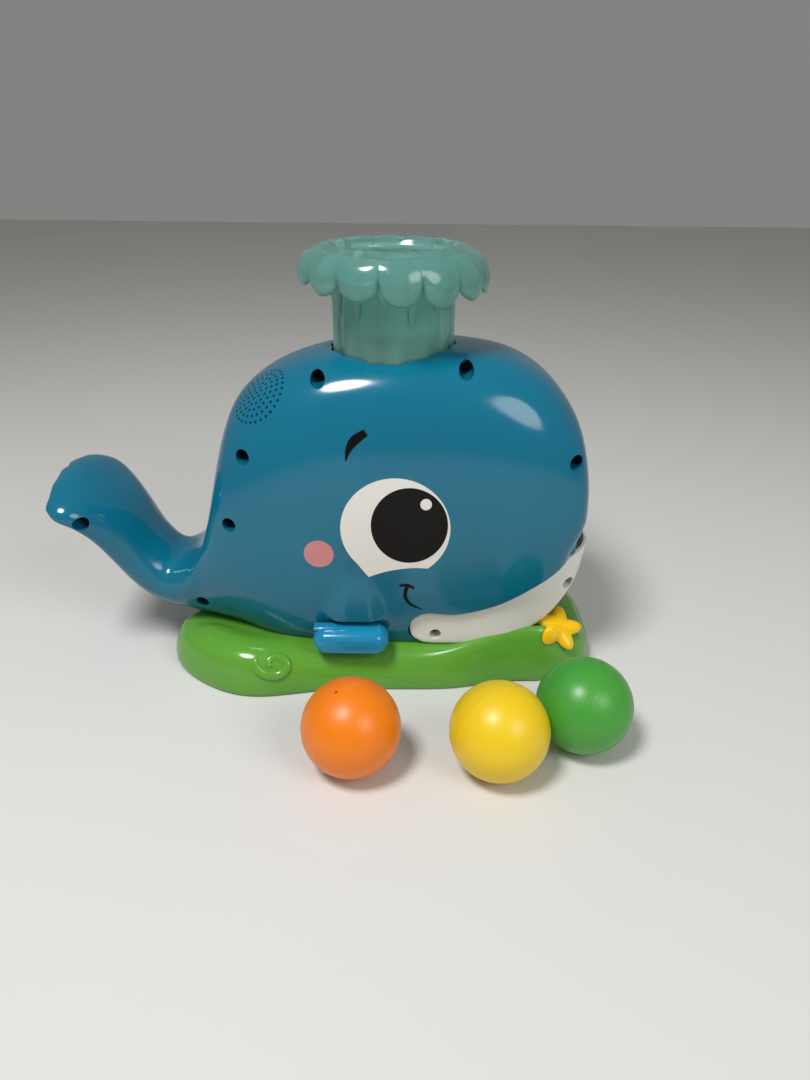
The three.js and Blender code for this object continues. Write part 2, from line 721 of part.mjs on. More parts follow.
function leftShell() {
  const half = block(-BEYOND, BEYOND, partingY, BEYOND, seatZ, BEYOND);
  const [rearX, rearY] = baseScrewRear;
  let shell = bodySkin.add(switchPad());
  BODY_SCREWS.forEach((place) => {
    shell = shell.add(pilotBoss(place));
  });
  boardPosts.forEach(([x, z]) => {
    const post = rodY(BOARD_POST_RADIUS, BOARD_Y + BOARD_SIZE[1] + CLEARANCE, BEYOND, x, z);
    shell = shell.add(post.intersect(bossLimit));
  });
  shell = shell.add(baseScrewPost(rearX, rearY).intersect(bossLimit));
  shell = shell.intersect(half).subtract(shellCuts).subtract(knobSlot(SWITCH_PAD_DEPTH + 1));
  BODY_SCREWS.forEach((place) => {
    shell = shell.subtract(screwWellCut(place));
  });
  return shell.subtract(baseScrewPilot(rearX, rearY));
}

add("right_shell", rightShell(), bluePlastic());
add("left_shell", leftShell(), bluePlastic());

// Screws, turned about Y with the head towards -Y
function screw(length) {
  return turned([
    [0, -SCREW_HEAD_HEIGHT],
    [SCREW_HEAD, -SCREW_HEAD_HEIGHT * 0.5],
    [SCREW_HEAD, 0],
    [SCREW_SHAFT, 0],
    [SCREW_SHAFT, length - SCREW_SHAFT],
    [0, length],
  ], 6);
}

function addScrew(name, length, place, upward = false) {
  const mesh = add(name, geometryOf(solid(screw(length))), steel());
  mesh.position.set(...place);
  if (upward) {
    mesh.rotation.x = Math.PI / 2;
  }
}

BODY_SCREWS.forEach(([x, z], k) => {
  addScrew(`body_screw_${k + 1}`, BODY_SCREW_LENGTH, [x, -SEAT_DEPTH - CLEARANCE, z]);
});

// Ball riser: stands on the deck, with an air floor, a mouth-side window and a notch for the blower duct
const scrollReach = FAN_RADIUS + SCROLL_TONGUE_GAP + SCROLL_GROWTH;
const blowerZ = deckZ + BLOWER_RISE;
const blowerHalf = FAN_WIDTH / 2 + 2;
const ductFloorZ = blowerZ - scrollReach;
const ductTopZ = ductFloorZ + DUCT_HEIGHT;
const windowHalf = ballRadius + 1.5;
const ballFloorZ = airFloorZ + AIR_FLOOR;

function ballRiser() {
  const tube = rodZ(riserRadius, seatZ, riserTopZ, 0, 0, ROUND);
  const upper = rodZ(riserBore, ballFloorZ, riserTopZ + 1, 0, 0, ROUND);
  const plenum = rodZ(riserBore, seatZ - 1, airFloorZ, 0, 0, ROUND);
  const hole = rodZ(AIR_HOLE_DIAMETER / 2, airFloorZ - 1, ballFloorZ + 1, 0, 0, 20);
  const window = block(0, BEYOND, -windowHalf, windowHalf, ballFloorZ, ballFloorZ + BALL_DIAMETER + 8);
  const notchHalf = blowerHalf + SCROLL_WALL + CLEARANCE;
  const notch = block(-BEYOND, 0, -notchHalf, notchHalf, seatZ - 1, ductTopZ + SCROLL_WALL + CLEARANCE);
  return tube.subtract(upper).subtract(plenum).subtract(hole).subtract(window).subtract(notch);
}

add("ball_riser", ballRiser(), whitePlastic());

// Spout
function spoutProfile(angle) {
  const petal = (0.5 + 0.5 * Math.cos(PETALS * (angle - PETAL_PHASE))) ** 0.6;
  const flute = SPOUT_FLUTE * Math.cos(PETALS * (angle - PETAL_PHASE));
  const nearest = Math.round(((angle - PETAL_PHASE) * PETALS) / (2 * Math.PI));
  const length = PETAL_LENGTHS[(nearest + PETALS) % PETALS];
  const reach = spoutRadius + PETAL_REACH - PETAL_NOTCH * (1 - petal);
  const drop = PETAL_DROP * (0.45 + (length - 0.45) * petal);
  const rim = spoutTopZ;
  const outline = [
    [spoutBore, riserTopZ + CLEARANCE],
    [spoutBore, rim - 10],
    [spoutBore + 3, rim],
    [spoutBore + 8 - 2 * (1 - petal), rim - 0.5],
    [reach - 3, rim - 0.28 * drop],
    [reach, rim - 0.6 * drop],
    [reach - 1.8, rim - drop],
    [reach - 4, rim - 0.72 * drop],
    [spoutRadius + 3, rim - 7],
    [spoutRadius + flute, rim - 15],
    [spoutRadius + flute, CROWN_Z - 8],
    [spoutRadius - 0.4, CROWN_Z - 10],
    [spoutRadius - 0.4, riserTopZ + CLEARANCE],
  ];
  return outline.map(([r, z]) => new THREE.Vector3(r * Math.cos(angle), r * Math.sin(angle), z));
}

const petalRing = PETALS * PETAL_STEPS;
const petalAngles = Array.from({ length: petalRing }, (_, k) => PETAL_PHASE + (2 * Math.PI * k) / petalRing);
add("spout", ringLoft(petalAngles.map(spoutProfile)), tealPlastic());

// Jaw: a leaning boat form cut to the jaw's side outline, with the ball tray across it
const jawHalf = BODY_HALF_WIDTH - JAW_INSET;

function jawRing(wall, z) {
  const lean = 1 - JAW_LEAN * (deckZ + JAW_RIM - z) / JAW_RIM;
  const middle = JAW_REAR_X + 30;
  const points = [];
  for (let k = 0; k <= JAW_RING_STEPS; k += 1) {
    const [along, across] = superellipse(Math.PI * (k / JAW_RING_STEPS - 0.5), JAW_SQUARE);
    const x = middle + along * (JAW_TIP_X - wall - middle) * lean;
    points.push(new THREE.Vector3(x, across * (jawHalf * lean - wall), z));
  }
  points.push(new THREE.Vector3(JAW_REAR_X - 10, jawHalf * lean - wall, z));
  points.push(new THREE.Vector3(JAW_REAR_X - 10, -jawHalf * lean + wall, z));
  return points;
}

function jawHull(wall) {
  return loft([deckZ - 4, deckZ + JAW_RIM / 2, deckZ + JAW_RIM + 6].map((z) => jawRing(wall, z)));
}

const trayHalf = ballRadius + TRAY_PLAY;
const trayFloorAt = (x) => ballFloorZ + TRAY_SLOPE * (x - riserRadius);

function trayFloor(below, above, halfWidth, toX) {
  const shape = new THREE.Shape();
  shape.moveTo(0, trayFloorAt(0) - below);
  shape.lineTo(toX, trayFloorAt(toX) - below);
  shape.lineTo(toX, trayFloorAt(toX) + above);
  shape.lineTo(0, trayFloorAt(0) + above);
  return slabY(shape, -halfWidth, halfWidth);
}

const JAW_SCREW_TIP = [JAW_TIP_X - 14, deckZ + 34];
const JAW_SCREW_REAR = [JAW_REAR_X + 15.5, deckZ + 7.5];
const jawLugY = BODY_HALF_WIDTH - JAW_LUG_DEPTH;
const trayEndX = JAW_TIP_X - TRAY_SETBACK;

function jawWhole() {
  const side = slabY(jawOutline(0), -BEYOND, BEYOND, 4);
  const ribX0 = JAW_RIB_X - JAW_RIB_HALF;
  const ribX1 = JAW_RIB_X + JAW_RIB_HALF;
  const ribBand = block(ribX0, ribX1, -BEYOND, BEYOND, seatZ, BEYOND);
  const trayBody = trayFloor(TRAY_WALL, TRAY_CURB, trayHalf + TRAY_WALL, trayEndX);
  const trayGap = trayFloor(0, BEYOND, trayHalf, trayEndX + 1);
  const tray = trayBody.intersect(jawHull(JAW_WALL / 2)).subtract(trayGap);
  const hull = jawHull(0).intersect(side);
  const skirt = hull.subtract(jawHull(JAW_WALL));
  const web = ribBand.intersect(jawHull(JAW_WALL / 4)).intersect(side);
  const underTray = block(ribX0, ribX1, -trayHalf, trayHalf, seatZ, trayFloorAt(JAW_RIB_X) - 1);
  const tipBoss = rodY(JAW_BOSS_RADIUS, -BEYOND, BEYOND, ...JAW_SCREW_TIP).intersect(hull);
  const rearEnd = -jawLugY - CLEARANCE;
  const rearBoss = rodY(JAW_BOSS_RADIUS + 1, -BEYOND, rearEnd, ...JAW_SCREW_REAR).intersect(hull);
  const posts = [-1, 1].map((s) => baseScrewPost(JAW_RIB_X, s * BASE_SCREW_FRONT_Y));
  let jaw = skirt.add(tray).add(web).add(underTray).add(tipBoss).add(rearBoss).add(posts[0]).add(posts[1]);
  jaw = jaw.subtract(rodZ(riserRadius + CLEARANCE, 0, CROWN_Z, 0, 0, ROUND));
  return jaw.subtract(trayFloor(0, BEYOND, trayHalf, trayEndX - JAW_WALL));
}

const jawBody = jawWhole();
const jawTipCut = rodY(JAW_WELL_RADIUS, -BEYOND, -SEAT_DEPTH, ...JAW_SCREW_TIP)
  .add(rodY(SCREW_SHAFT + CLEARANCE, -SEAT_DEPTH - 1, BODY_SCREW_LENGTH - SEAT_DEPTH + 1, ...JAW_SCREW_TIP));
const rearSeatY = jawLugY + 4;
const jawRearCut = rodY(JAW_WELL_RADIUS, -BEYOND, -rearSeatY, ...JAW_SCREW_REAR)
  .add(rodY(SCREW_SHAFT + CLEARANCE, -rearSeatY - 1, 0, ...JAW_SCREW_REAR));

function jawSide(sign) {
  const half = sign < 0
    ? block(-BEYOND, BEYOND, -BEYOND, -partingY, 0, BEYOND)
    : block(-BEYOND, BEYOND, partingY, BEYOND, 0, BEYOND);
  const bore = baseScrewPilot(JAW_RIB_X, sign * BASE_SCREW_FRONT_Y);
  return jawBody.intersect(half).subtract(jawTipCut).subtract(jawRearCut).subtract(bore);
}

add("right_jaw", jawSide(-1), whitePlastic());
add("left_jaw", jawSide(1), whitePlastic());
addScrew("jaw_screw_1", BODY_SCREW_LENGTH, [JAW_SCREW_TIP[0], -SEAT_DEPTH - CLEARANCE, JAW_SCREW_TIP[1]]);
addScrew("jaw_screw_2", LUG_SCREW_LENGTH, [JAW_SCREW_REAR[0], -rearSeatY - CLEARANCE, JAW_SCREW_REAR[1]]);

// Base
function baseRing(inset, z) {
  const points = [];
  for (let k = 0; k < BASE_POINTS; k += 1) {
    const [along, across] = superellipse((2 * Math.PI * k) / BASE_POINTS, BASE_SQUARE);
    const x = BASE_MIDDLE_X + along * (BASE_HALF_LENGTH - inset);
    const lobe = LOBE_SWELL * Math.exp(-(((x - LOBE_X) / LOBE_SPREAD) ** 2));
    const waist = WAIST_NIP * Math.exp(-(((x - WAIST_X) / WAIST_SPREAD) ** 2));
    const y = across * (BASE_HALF_DEPTH * (1 + lobe - waist) - inset);
    const dent = Math.max(0, -along) * END_DENT * Math.exp(-((y / END_DENT_SPREAD) ** 2));
    points.push(new THREE.Vector3(x + dent, y, z));
  }
  return points;
}

// The base's outer form, grown outwards and upwards by an amount
function baseForm(grow) {
  return loft(BASE_PROFILE.map(({ rise, inset }, k) =>
    baseRing(inset - grow, k === 0 ? -Math.max(0, grow) : rise * BASE_HEIGHT + grow)));
}

function baseHollow() {
  const rings = [baseRing(BASE_PROFILE[0].inset + BASE_WALL, -1)];
  BASE_PROFILE.filter((_, k) => k % 2 === 0 && k > 0).forEach(({ rise, inset }) => {
    rings.push(baseRing(inset + BASE_WALL, rise * (BASE_HEIGHT - BASE_WALL)));
  });
  return loft(rings);
}

// Swirl: a ribbon along an Archimedean spiral, standing on the slope of the near lobe
function swirlRelief() {
  const steps = 16;
  const edge = (side) => Array.from({ length: steps + 1 }, (_, k) => {
    const angle = (2 * Math.PI * SWIRL_TURNS * k) / steps;
    const width = SWIRL_WIDTH * (0.5 + 0.5 * (k / steps));
    const radius = 1.5 + (SWIRL_RADIUS - 1.5) * (k / steps) + (side * width) / 2;
    return new THREE.Vector2(radius * Math.cos(angle), radius * Math.sin(angle));
  });
  const shape = new THREE.Shape([...edge(1), ...edge(-1).reverse()]);
  const geometry = new THREE.ExtrudeGeometry(shape, { depth: 24, bevelEnabled: false });
  geometry.translate(0, 0, -12);
  geometry.rotateX(Math.PI * 0.3);
  geometry.translate(...SWIRL_PLACE);
  return solid(geometry).intersect(baseForm(SWIRL_RELIEF));
}

const pinHalf = FLIPPER_ROOT / 2 + CLEARANCE + EAR_THICKNESS;
const pinBore = FLIPPER_PIN_RADIUS + CLEARANCE;

function flipperEars() {
  const ears = [-1, 1].map((side) => {
    const inner = FLIPPER_ROOT / 2 + CLEARANCE;
    const x0 = FLIPPER_X + (side < 0 ? -pinHalf : inner);
    const x1 = x0 + EAR_THICKNESS;
    return block(x0, x1, -pivotY - EAR_HALF, -pivotY + EAR_HALF, deckZ - 1, pivotZ + EAR_HALF);
  });
  return ears[0].add(ears[1]).subtract(rodX(pinBore, -BEYOND, BEYOND, -pivotY, pivotZ));
}

function jawLug() {
  const [x, z] = JAW_SCREW_REAR;
  return block(
    x - JAW_LUG_HALF, x + JAW_LUG_HALF, -jawLugY, -jawLugY + JAW_LUG_THICKNESS, deckZ - 1, z + JAW_LUG_HALF)
    .subtract(rodY(SCREW_SHAFT + CLEARANCE, -BEYOND, BEYOND, x, z));
}

const baseScrews = [-1, 1].flatMap((side) => [
  [baseScrewRear[0], side * baseScrewRear[1]],
  [JAW_RIB_X, side * BASE_SCREW_FRONT_Y],
]);

function baseShell() {
  let shell = baseForm(0).add(swirlRelief()).subtract(baseHollow());
  shell = shell.add(flipperEars()).add(jawLug());
  baseScrews.forEach(([x, y]) => {
    shell = shell.subtract(rodZ(SCREW_SHAFT + CLEARANCE, 0, deckZ + 1, x, y));
  });
  return shell;
}

add("base_shell", baseShell(), greenPlastic());

// Starfish: a five-armed slab that follows the base below it
function starfish() {
  const shape = new THREE.Shape();
  const corner = (k) => {
    const radius = k % 2 === 0 ? STAR_RADIUS : STAR_WAIST;
    const angle = STAR_TURN + (Math.PI * k) / STAR_ARMS;
    return new THREE.Vector2(radius * Math.cos(angle), radius * Math.sin(angle));
  };
  const start = corner(0).lerp(corner(1), STAR_BLUNT);
  shape.moveTo(start.x, start.y);
  for (let k = 1; k <= 2 * STAR_ARMS; k += 1) {
    const here = corner(k);
    const into = corner(k - 1).lerp(here, 1 - STAR_BLUNT);
    const out = here.clone().lerp(corner(k + 1), STAR_BLUNT);
    shape.lineTo(into.x, into.y);
    shape.quadraticCurveTo(here.x, here.y, out.x, out.y);
  }
  const prism = new THREE.ExtrudeGeometry(shape, { depth: 40, bevelEnabled: false, curveSegments: 4 });
  prism.translate(BASE_MIDDLE_X + BASE_HALF_LENGTH - STAR_SETBACK, STAR_Y, STAR_HEIGHT);
  return solid(prism).intersect(baseForm(STAR_HEIGHT)).subtract(baseForm(CLEARANCE));
}

add("starfish", starfish(), yellowPlastic());

// Base plate with its battery box, open below
const cellZ = DOOR_THICKNESS + 2 * CLEARANCE + CELL_DIAMETER / 2;
const bayHalfX = (CELL_COUNT * CELL_PITCH) / 2 + CLEARANCE;
const bayHalfY = CELL_LENGTH / 2 + CONTACT_SPACE;
const bayTopZ = cellZ + CELL_DIAMETER / 2 + CLEARANCE;
const wellTopZ = BASE_HEIGHT - BASE_WALL - CLEARANCE;
const baseSeatZ = wellTopZ - SEAT_THICKNESS;
const doorX0 = BATTERY_X - bayHalfX - DOOR_LEDGE;
const doorX1 = BATTERY_X + bayHalfX + DOOR_SCREW_LEDGE;
const doorHalfY = bayHalfY + DOOR_LEDGE;
const doorScrewX = doorX1 - DOOR_SCREW_LEDGE / 2;

function plateOutline() {
  const inset = BASE_PROFILE[0].inset + BASE_WALL + CLEARANCE;
  return new THREE.Shape(baseRing(inset, 0).map((p) => new THREE.Vector2(p.x, p.y)));
}

function basePlate() {
  const margin = BAY_WALL + CLEARANCE;
  let plate = slabZ(plateOutline(), 0, FLOOR_THICKNESS);
  const frameY = doorHalfY + margin;
  const boxX = bayHalfX + BAY_WALL;
  const boxY = bayHalfY + BAY_WALL;
  plate = plate.add(block(doorX0 - margin, doorX1 + margin, -frameY, frameY, 0, DOOR_THICKNESS + DOOR_LEDGE));
  plate = plate.add(block(BATTERY_X - boxX, BATTERY_X + boxX, -boxY, boxY, 0, bayTopZ + BAY_WALL));
  plate = plate.add(rodZ(POST_RADIUS, 0, DOOR_THICKNESS + DOOR_SCREW_LENGTH + 1, doorScrewX, 0));
  plate = plate.subtract(block(
    doorX0 - CLEARANCE, doorX1 + CLEARANCE, -doorHalfY - CLEARANCE, doorHalfY + CLEARANCE,
    -1, DOOR_THICKNESS + CLEARANCE));
  plate = plate.subtract(block(
    BATTERY_X - bayHalfX, BATTERY_X + bayHalfX, -bayHalfY, bayHalfY, 0, bayTopZ));
  plate = plate.subtract(rodZ(SCREW_SHAFT + CLEARANCE, 0, DOOR_THICKNESS + DOOR_SCREW_LENGTH, doorScrewX, 0));
  baseScrews.forEach(([x, y]) => {
    plate = plate.add(rodZ(BOSS_RADIUS, 0, wellTopZ, x, y));
    plate = plate.subtract(rodZ(WELL_RADIUS, -1, baseSeatZ, x, y));
    plate = plate.subtract(rodZ(SCREW_SHAFT + CLEARANCE, 0, BASE_HEIGHT, x, y));
  });
  return plate;
}

add("base_plate", basePlate(), greyPlastic());
baseScrews.forEach(([x, y], k) => {
  addScrew(`base_screw_${k + 1}`, BASE_SCREW_LENGTH, [x, y, baseSeatZ - CLEARANCE], true);
});

function batteryDoor() {
  const sink = SCREW_HEAD_HEIGHT + 2 * CLEARANCE;
  const panel = block(doorX0, doorX1, -doorHalfY, doorHalfY, 0, DOOR_THICKNESS);
  return panel.subtract(rodZ(SCREW_HEAD + CLEARANCE, -1, sink, doorScrewX, 0))
    .subtract(rodZ(SCREW_SHAFT + CLEARANCE, 0, DOOR_THICKNESS + 1, doorScrewX, 0));
}

add("battery_door", batteryDoor(), greyPlastic());
addScrew("door_screw", DOOR_SCREW_LENGTH, [doorScrewX, 0, SCREW_HEAD_HEIGHT + CLEARANCE], true);

function cell() {
  const r = CELL_DIAMETER / 2;
  const half = CELL_LENGTH / 2;
  const [button, rise] = CELL_BUTTON;
  const shoulder = half - rise;
  return turned([[0, -half], [r, -half], [r, shoulder], [button, shoulder], [button, half], [0, half]], 12);
}

for (let k = 0; k < CELL_COUNT; k += 1) {
  const mesh = add(`battery_${k + 1}`, geometryOf(solid(cell())), finish(0x30343a, 0.4, 0.3));
  mesh.position.set(BATTERY_X + (k - (CELL_COUNT - 1) / 2) * CELL_PITCH, 0, cellZ);
  mesh.rotation.z = k % 2 === 0 ? 0 : Math.PI;
}

// Contact strips: a spring-steel strip with one dimple for each cell
function contactStrip(side) {
  const outer = bayHalfY - CLEARANCE;
  const reach = CELL_LENGTH / 2 + CLEARANCE;
  const y0 = side < 0 ? -outer : outer - STRIP_THICKNESS;
  const x0 = BATTERY_X - bayHalfX + 1;
  const x1 = BATTERY_X + bayHalfX - 1;
  let contact = block(x0, x1, y0, y0 + STRIP_THICKNESS, cellZ - STRIP_HALF, cellZ + STRIP_HALF);
  for (let k = 0; k < CELL_COUNT; k += 1) {
    const x = BATTERY_X + (k - (CELL_COUNT - 1) / 2) * CELL_PITCH;
    const dimple = new THREE.CylinderGeometry(...DIMPLE_RADII, outer - reach, 6);
    dimple.rotateX(side < 0 ? 0 : Math.PI);
    dimple.translate(x, (side * (outer + reach)) / 2, cellZ);
    contact = contact.add(solid(dimple));
  }
  return contact;
}

add("battery_contact_right", contactStrip(-1), steel());
add("battery_contact_left", contactStrip(1), steel());

// Flipper pad: a bull-nosed oval bar on a root that turns on the pin
function flipperPad(side) {
  const r = FLIPPER_THICKNESS / 2;
  const straight = FLIPPER_LENGTH / 2 - r;
  const shape = new THREE.Shape();
  shape.absarc(straight, 0, r - FLIPPER_EDGE, -Math.PI / 2, Math.PI / 2, false);
  shape.absarc(-straight, 0, r - FLIPPER_EDGE, Math.PI / 2, Math.PI * 1.5, false);
  const pad = new THREE.ExtrudeGeometry(shape, {
    depth: FLIPPER_REACH - FLIPPER_EDGE,
    bevelThickness: FLIPPER_EDGE,
    bevelSize: FLIPPER_EDGE,
    bevelSegments: 2,
    curveSegments: 6,
  });
  pad.rotateX(Math.PI / 2);
  if (side > 0) {
    pad.rotateZ(Math.PI);
  }
  return solid(pad.translate(FLIPPER_X, side * (flipperY + FLIPPER_EDGE), flipperZ));
}

function flipper() {
  const half = FLIPPER_ROOT / 2;
  const root = block(
    FLIPPER_X - half, FLIPPER_X + half, -flipperY - 4, -pivotY, rootZ, rootZ + FLIPPER_ROOT_THICKNESS);
  const barrel = rodX(FLIPPER_BARREL, FLIPPER_X - half, FLIPPER_X + half, -pivotY, pivotZ, 16);
  return flipperPad(-1).add(root).add(barrel).subtract(rodX(pinBore, -BEYOND, BEYOND, -pivotY, pivotZ));
}

function farFlipper() {
  const half = FLIPPER_ROOT / 2;
  const top = rootZ + FLIPPER_ROOT_THICKNESS;
  return flipperPad(1).add(block(FLIPPER_X - half, FLIPPER_X + half, pivotY, flipperY + 4, seatZ, top));
}

add("flipper", flipper(), lightBluePlastic());
add("far_flipper", farFlipper(), lightBluePlastic());
const pin = rodX(FLIPPER_PIN_RADIUS, FLIPPER_X - pinHalf, FLIPPER_X + pinHalf, -pivotY, pivotZ);
add("flipper_pin", pin, steel());

const springY = -(pivotY + SPRING_OFFSET);
const springTop = rootZ - CLEARANCE;

function flipperSpring() {
  const low = seatZ + SPRING_WIRE / 2;
  const high = springTop - SPRING_WIRE / 2;
  const turns = [];
  const steps = SPRING_TURNS * SPRING_TURN_STEPS;
  for (let k = 0; k <= steps; k += 1) {
    const angle = (2 * Math.PI * SPRING_TURNS * k) / steps;
    turns.push(new THREE.Vector3(
      FLIPPER_X + SPRING_RADIUS * Math.cos(angle), springY + SPRING_RADIUS * Math.sin(angle),
      low + ((high - low) * k) / steps));
  }
  const wire = new THREE.Shape().absarc(0, 0, SPRING_WIRE / 2, 0, 2 * Math.PI);
  const path = new THREE.CatmullRomCurve3(turns);
  return solid(new THREE.ExtrudeGeometry(wire, { steps, curveSegments: 3, extrudePath: path }));
}

add("flipper_spring", flipperSpring(), steel());

function startSwitch() {
  const x = FLIPPER_X + FLIPPER_ROOT / 3;
  const half = START_SWITCH_SIZE / 2;
  const body = block(x - half, x + half, springY - half, springY + half, seatZ, seatZ + START_SWITCH_HEIGHT);
  return body.add(rodZ(PLUNGER_RADIUS, seatZ + 1, rootZ - START_SWITCH_GAP, x, springY));
}

add("start_switch", startSwitch(), greyPlastic());

// Blower
function scrollOutline(grow, ductEndX) {
  const shape = new THREE.Shape();
  const sweep = Math.PI * 1.5 - SCROLL_FIRST;
  const start = FAN_RADIUS + SCROLL_TONGUE_GAP;
  for (let k = 0; k <= SCROLL_STEPS; k += 1) {
    const angle = SCROLL_FIRST + (sweep * k) / SCROLL_STEPS;
    const r = start + (SCROLL_GROWTH * k) / SCROLL_STEPS + grow;
    const x = BLOWER_X + r * Math.cos(angle);
    const z = blowerZ + r * Math.sin(angle);
    if (k === 0) {
      shape.moveTo(x, Math.max(z, ductTopZ + grow));
    } else {
      shape.lineTo(x, z);
    }
  }
  shape.lineTo(ductEndX, ductFloorZ - grow);
  shape.lineTo(ductEndX, ductTopZ + grow);
  return shape;
}

const ductEndX = -(riserBore - 5);
const housingBackY = -blowerHalf - SCROLL_WALL;

function blowerHousing() {
  const outer = slabY(scrollOutline(SCROLL_WALL, ductEndX), housingBackY, blowerHalf);
  const [back, ahead] = BLOWER_FOOT;
  const foot = block(BLOWER_X - back, BLOWER_X + ahead, housingBackY, blowerHalf, seatZ, ductFloorZ);
  const inner = slabY(scrollOutline(0, ductEndX + 1), -blowerHalf, blowerHalf + 1);
  const shaftHole = rodY(MOTOR_SHAFT_RADIUS + 2 * CLEARANCE, -BEYOND, 0, BLOWER_X, blowerZ);
  return outer.add(foot).subtract(inner).subtract(shaftHole);
}

function blowerCover() {
  const y0 = blowerHalf + CLEARANCE;
  const plate = slabY(scrollOutline(SCROLL_WALL, ductEndX), y0, y0 + SCROLL_WALL);
  return plate.subtract(rodY(INTAKE_RADIUS, 0, BEYOND, BLOWER_X, blowerZ, 24));
}

function fan() {
  const back = -FAN_WIDTH / 2;
  const [hubRadius, hubLength] = FAN_HUB;
  let wheel = rodY(FAN_RADIUS, back, back + FAN_DISC, BLOWER_X, blowerZ, ROUND);
  wheel = wheel.add(rodY(hubRadius, back, back + hubLength, BLOWER_X, blowerZ, 12));
  for (let k = 0; k < FAN_BLADES; k += 1) {
    const shape = new THREE.Shape();
    shape.moveTo(9, 0);
    shape.quadraticCurveTo(15, 0.5, FAN_RADIUS - 0.6, 6);
    shape.lineTo(FAN_RADIUS - 1.8, 7);
    shape.quadraticCurveTo(14, 2.2, 9, 1.4);
    const width = { depth: FAN_WIDTH - 1, bevelEnabled: false, curveSegments: 2 };
    const blade = new THREE.ExtrudeGeometry(shape, width);
    blade.rotateZ((2 * Math.PI * k) / FAN_BLADES);
    blade.rotateX(Math.PI / 2);
    blade.translate(BLOWER_X, FAN_WIDTH / 2, blowerZ);
    wheel = wheel.add(solid(blade));
  }
  return wheel.subtract(rodY(MOTOR_SHAFT_RADIUS + CLEARANCE, -BEYOND, BEYOND, BLOWER_X, blowerZ));
}

const motorFaceY = housingBackY - CLEARANCE;

function motor() {
  const [bearing, stub] = MOTOR_BEARING;
  const can = turned([
    [0, -MOTOR_LENGTH - stub],
    [bearing, -MOTOR_LENGTH - stub],
    [bearing, -MOTOR_LENGTH],
    [MOTOR_RADIUS - 1, -MOTOR_LENGTH],
    [MOTOR_RADIUS, -MOTOR_LENGTH + 1],
    [MOTOR_RADIUS, 0],
    [0, 0],
  ], 20);
  return solid(can.translate(BLOWER_X, motorFaceY, blowerZ));
}

add("blower_housing", blowerHousing(), greyPlastic());
add("blower_cover", blowerCover(), greyPlastic());
add("fan", fan(), whitePlastic());
add("motor", motor(), steel());
const shaft = rodY(MOTOR_SHAFT_RADIUS, motorFaceY + CLEARANCE, FAN_WIDTH / 4, BLOWER_X, blowerZ);
add("motor_shaft", shaft, steel());

// Speaker behind the grille, in its cup
function speaker() {
  const r = SPEAKER_RADIUS;
  const front = -SPEAKER_SETBACK;
  return inGrille(turned([
    [0, front - 2],
    [r - 3, front],
    [r, front],
    [r, front - 2],
    [r * 0.6, front - SPEAKER_DEPTH + 4],
    [r * 0.6, front - SPEAKER_DEPTH],
    [0, front - SPEAKER_DEPTH],
  ], SPEAKER_SIDES));
}

add("speaker", speaker(), greyPlastic());

// Power switch and its knob on the back of the body
function powerKnob() {
  const knob = turned([
    [0, -SWITCH_PAD_DEPTH - STEM_REACH],
    [KNOB_STEM, -SWITCH_PAD_DEPTH - STEM_REACH],
    [KNOB_STEM, KNOB_LIFT],
    [KNOB_RADIUS, KNOB_LIFT],
    [KNOB_RADIUS, KNOB_LIFT + 1],
    [KNOB_RADIUS * 0.7, 3],
    [0, 3.6],
  ], 12);
  return inKnob(knob.rotateZ(-Math.PI / 2));
}

function powerSwitch() {
  const front = -SWITCH_PAD_DEPTH - CLEARANCE;
  const [halfY, halfZ] = SWITCH_HALF;
  const body = boxGeometry(front - SWITCH_DEPTH, front, -halfY, halfY, -halfZ, halfZ);
  return inKnob(body).subtract(knobSlot(SWITCH_PAD_DEPTH + STEM_REACH + 1));
}

add("power_knob", powerKnob(), redPlastic());
add("power_switch", powerSwitch(), greyPlastic());

// Circuit board on the posts of the left half
function circuitBoard() {
  const [width, thick, height] = BOARD_SIZE;
  const [x, z] = boardMiddle;
  const board = block(x - width / 2, x + width / 2, BOARD_Y, BOARD_Y + thick, z - height / 2, z + height / 2);
  const chip = block(x - 8, x + 4, BOARD_Y - 2, BOARD_Y + 0.5, z - 5, z + 5);
  const capacitor = rodY(4, BOARD_Y - 9, BOARD_Y + 0.5, x + 13, z + 8, 12);
  const socket = block(x - 18, x - 10, BOARD_Y - 5, BOARD_Y + 0.5, z + 8, z + 14);
  return board.add(chip).add(capacitor).add(socket);
}

add("circuit_board", circuitBoard(), finish(0x1f6b3a, 0.5));

// Balls: blown shells with the vent that the moulding leaves on top
function ball() {
  const shell = solid(new THREE.SphereGeometry(ballRadius, 14, 10).rotateX(Math.PI / 2));
  const hollow = solid(new THREE.SphereGeometry(ballRadius - BALL_WALL, 8, 6).rotateX(Math.PI / 2));
  return shell.subtract(hollow).subtract(rodZ(BALL_VENT_DIAMETER / 2, 0, ballRadius + 1, 0, 0, 6));
}

BALLS.forEach(({ name, colour, place }) => {
  const mesh = add(name, ball(), finish(colour, 0.45));
  mesh.position.set(...place, ballRadius);
});

export default toy;
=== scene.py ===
# %% [markdown]
# # Whale ball popper
# A whale-shaped battery toy stands on a green sea bed. Balls dropped in its mouth roll back to a tube,
# where a blower lifts them out of the water spout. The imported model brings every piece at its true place;
# this lesson rebuilds the moulded pieces with smooth surfaces and gives each one the finish of its plastic.

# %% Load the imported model
import json
import math
import bmesh
import bpy
from mathutils import Matrix, Vector
from mathutils.bvhtree import BVHTree

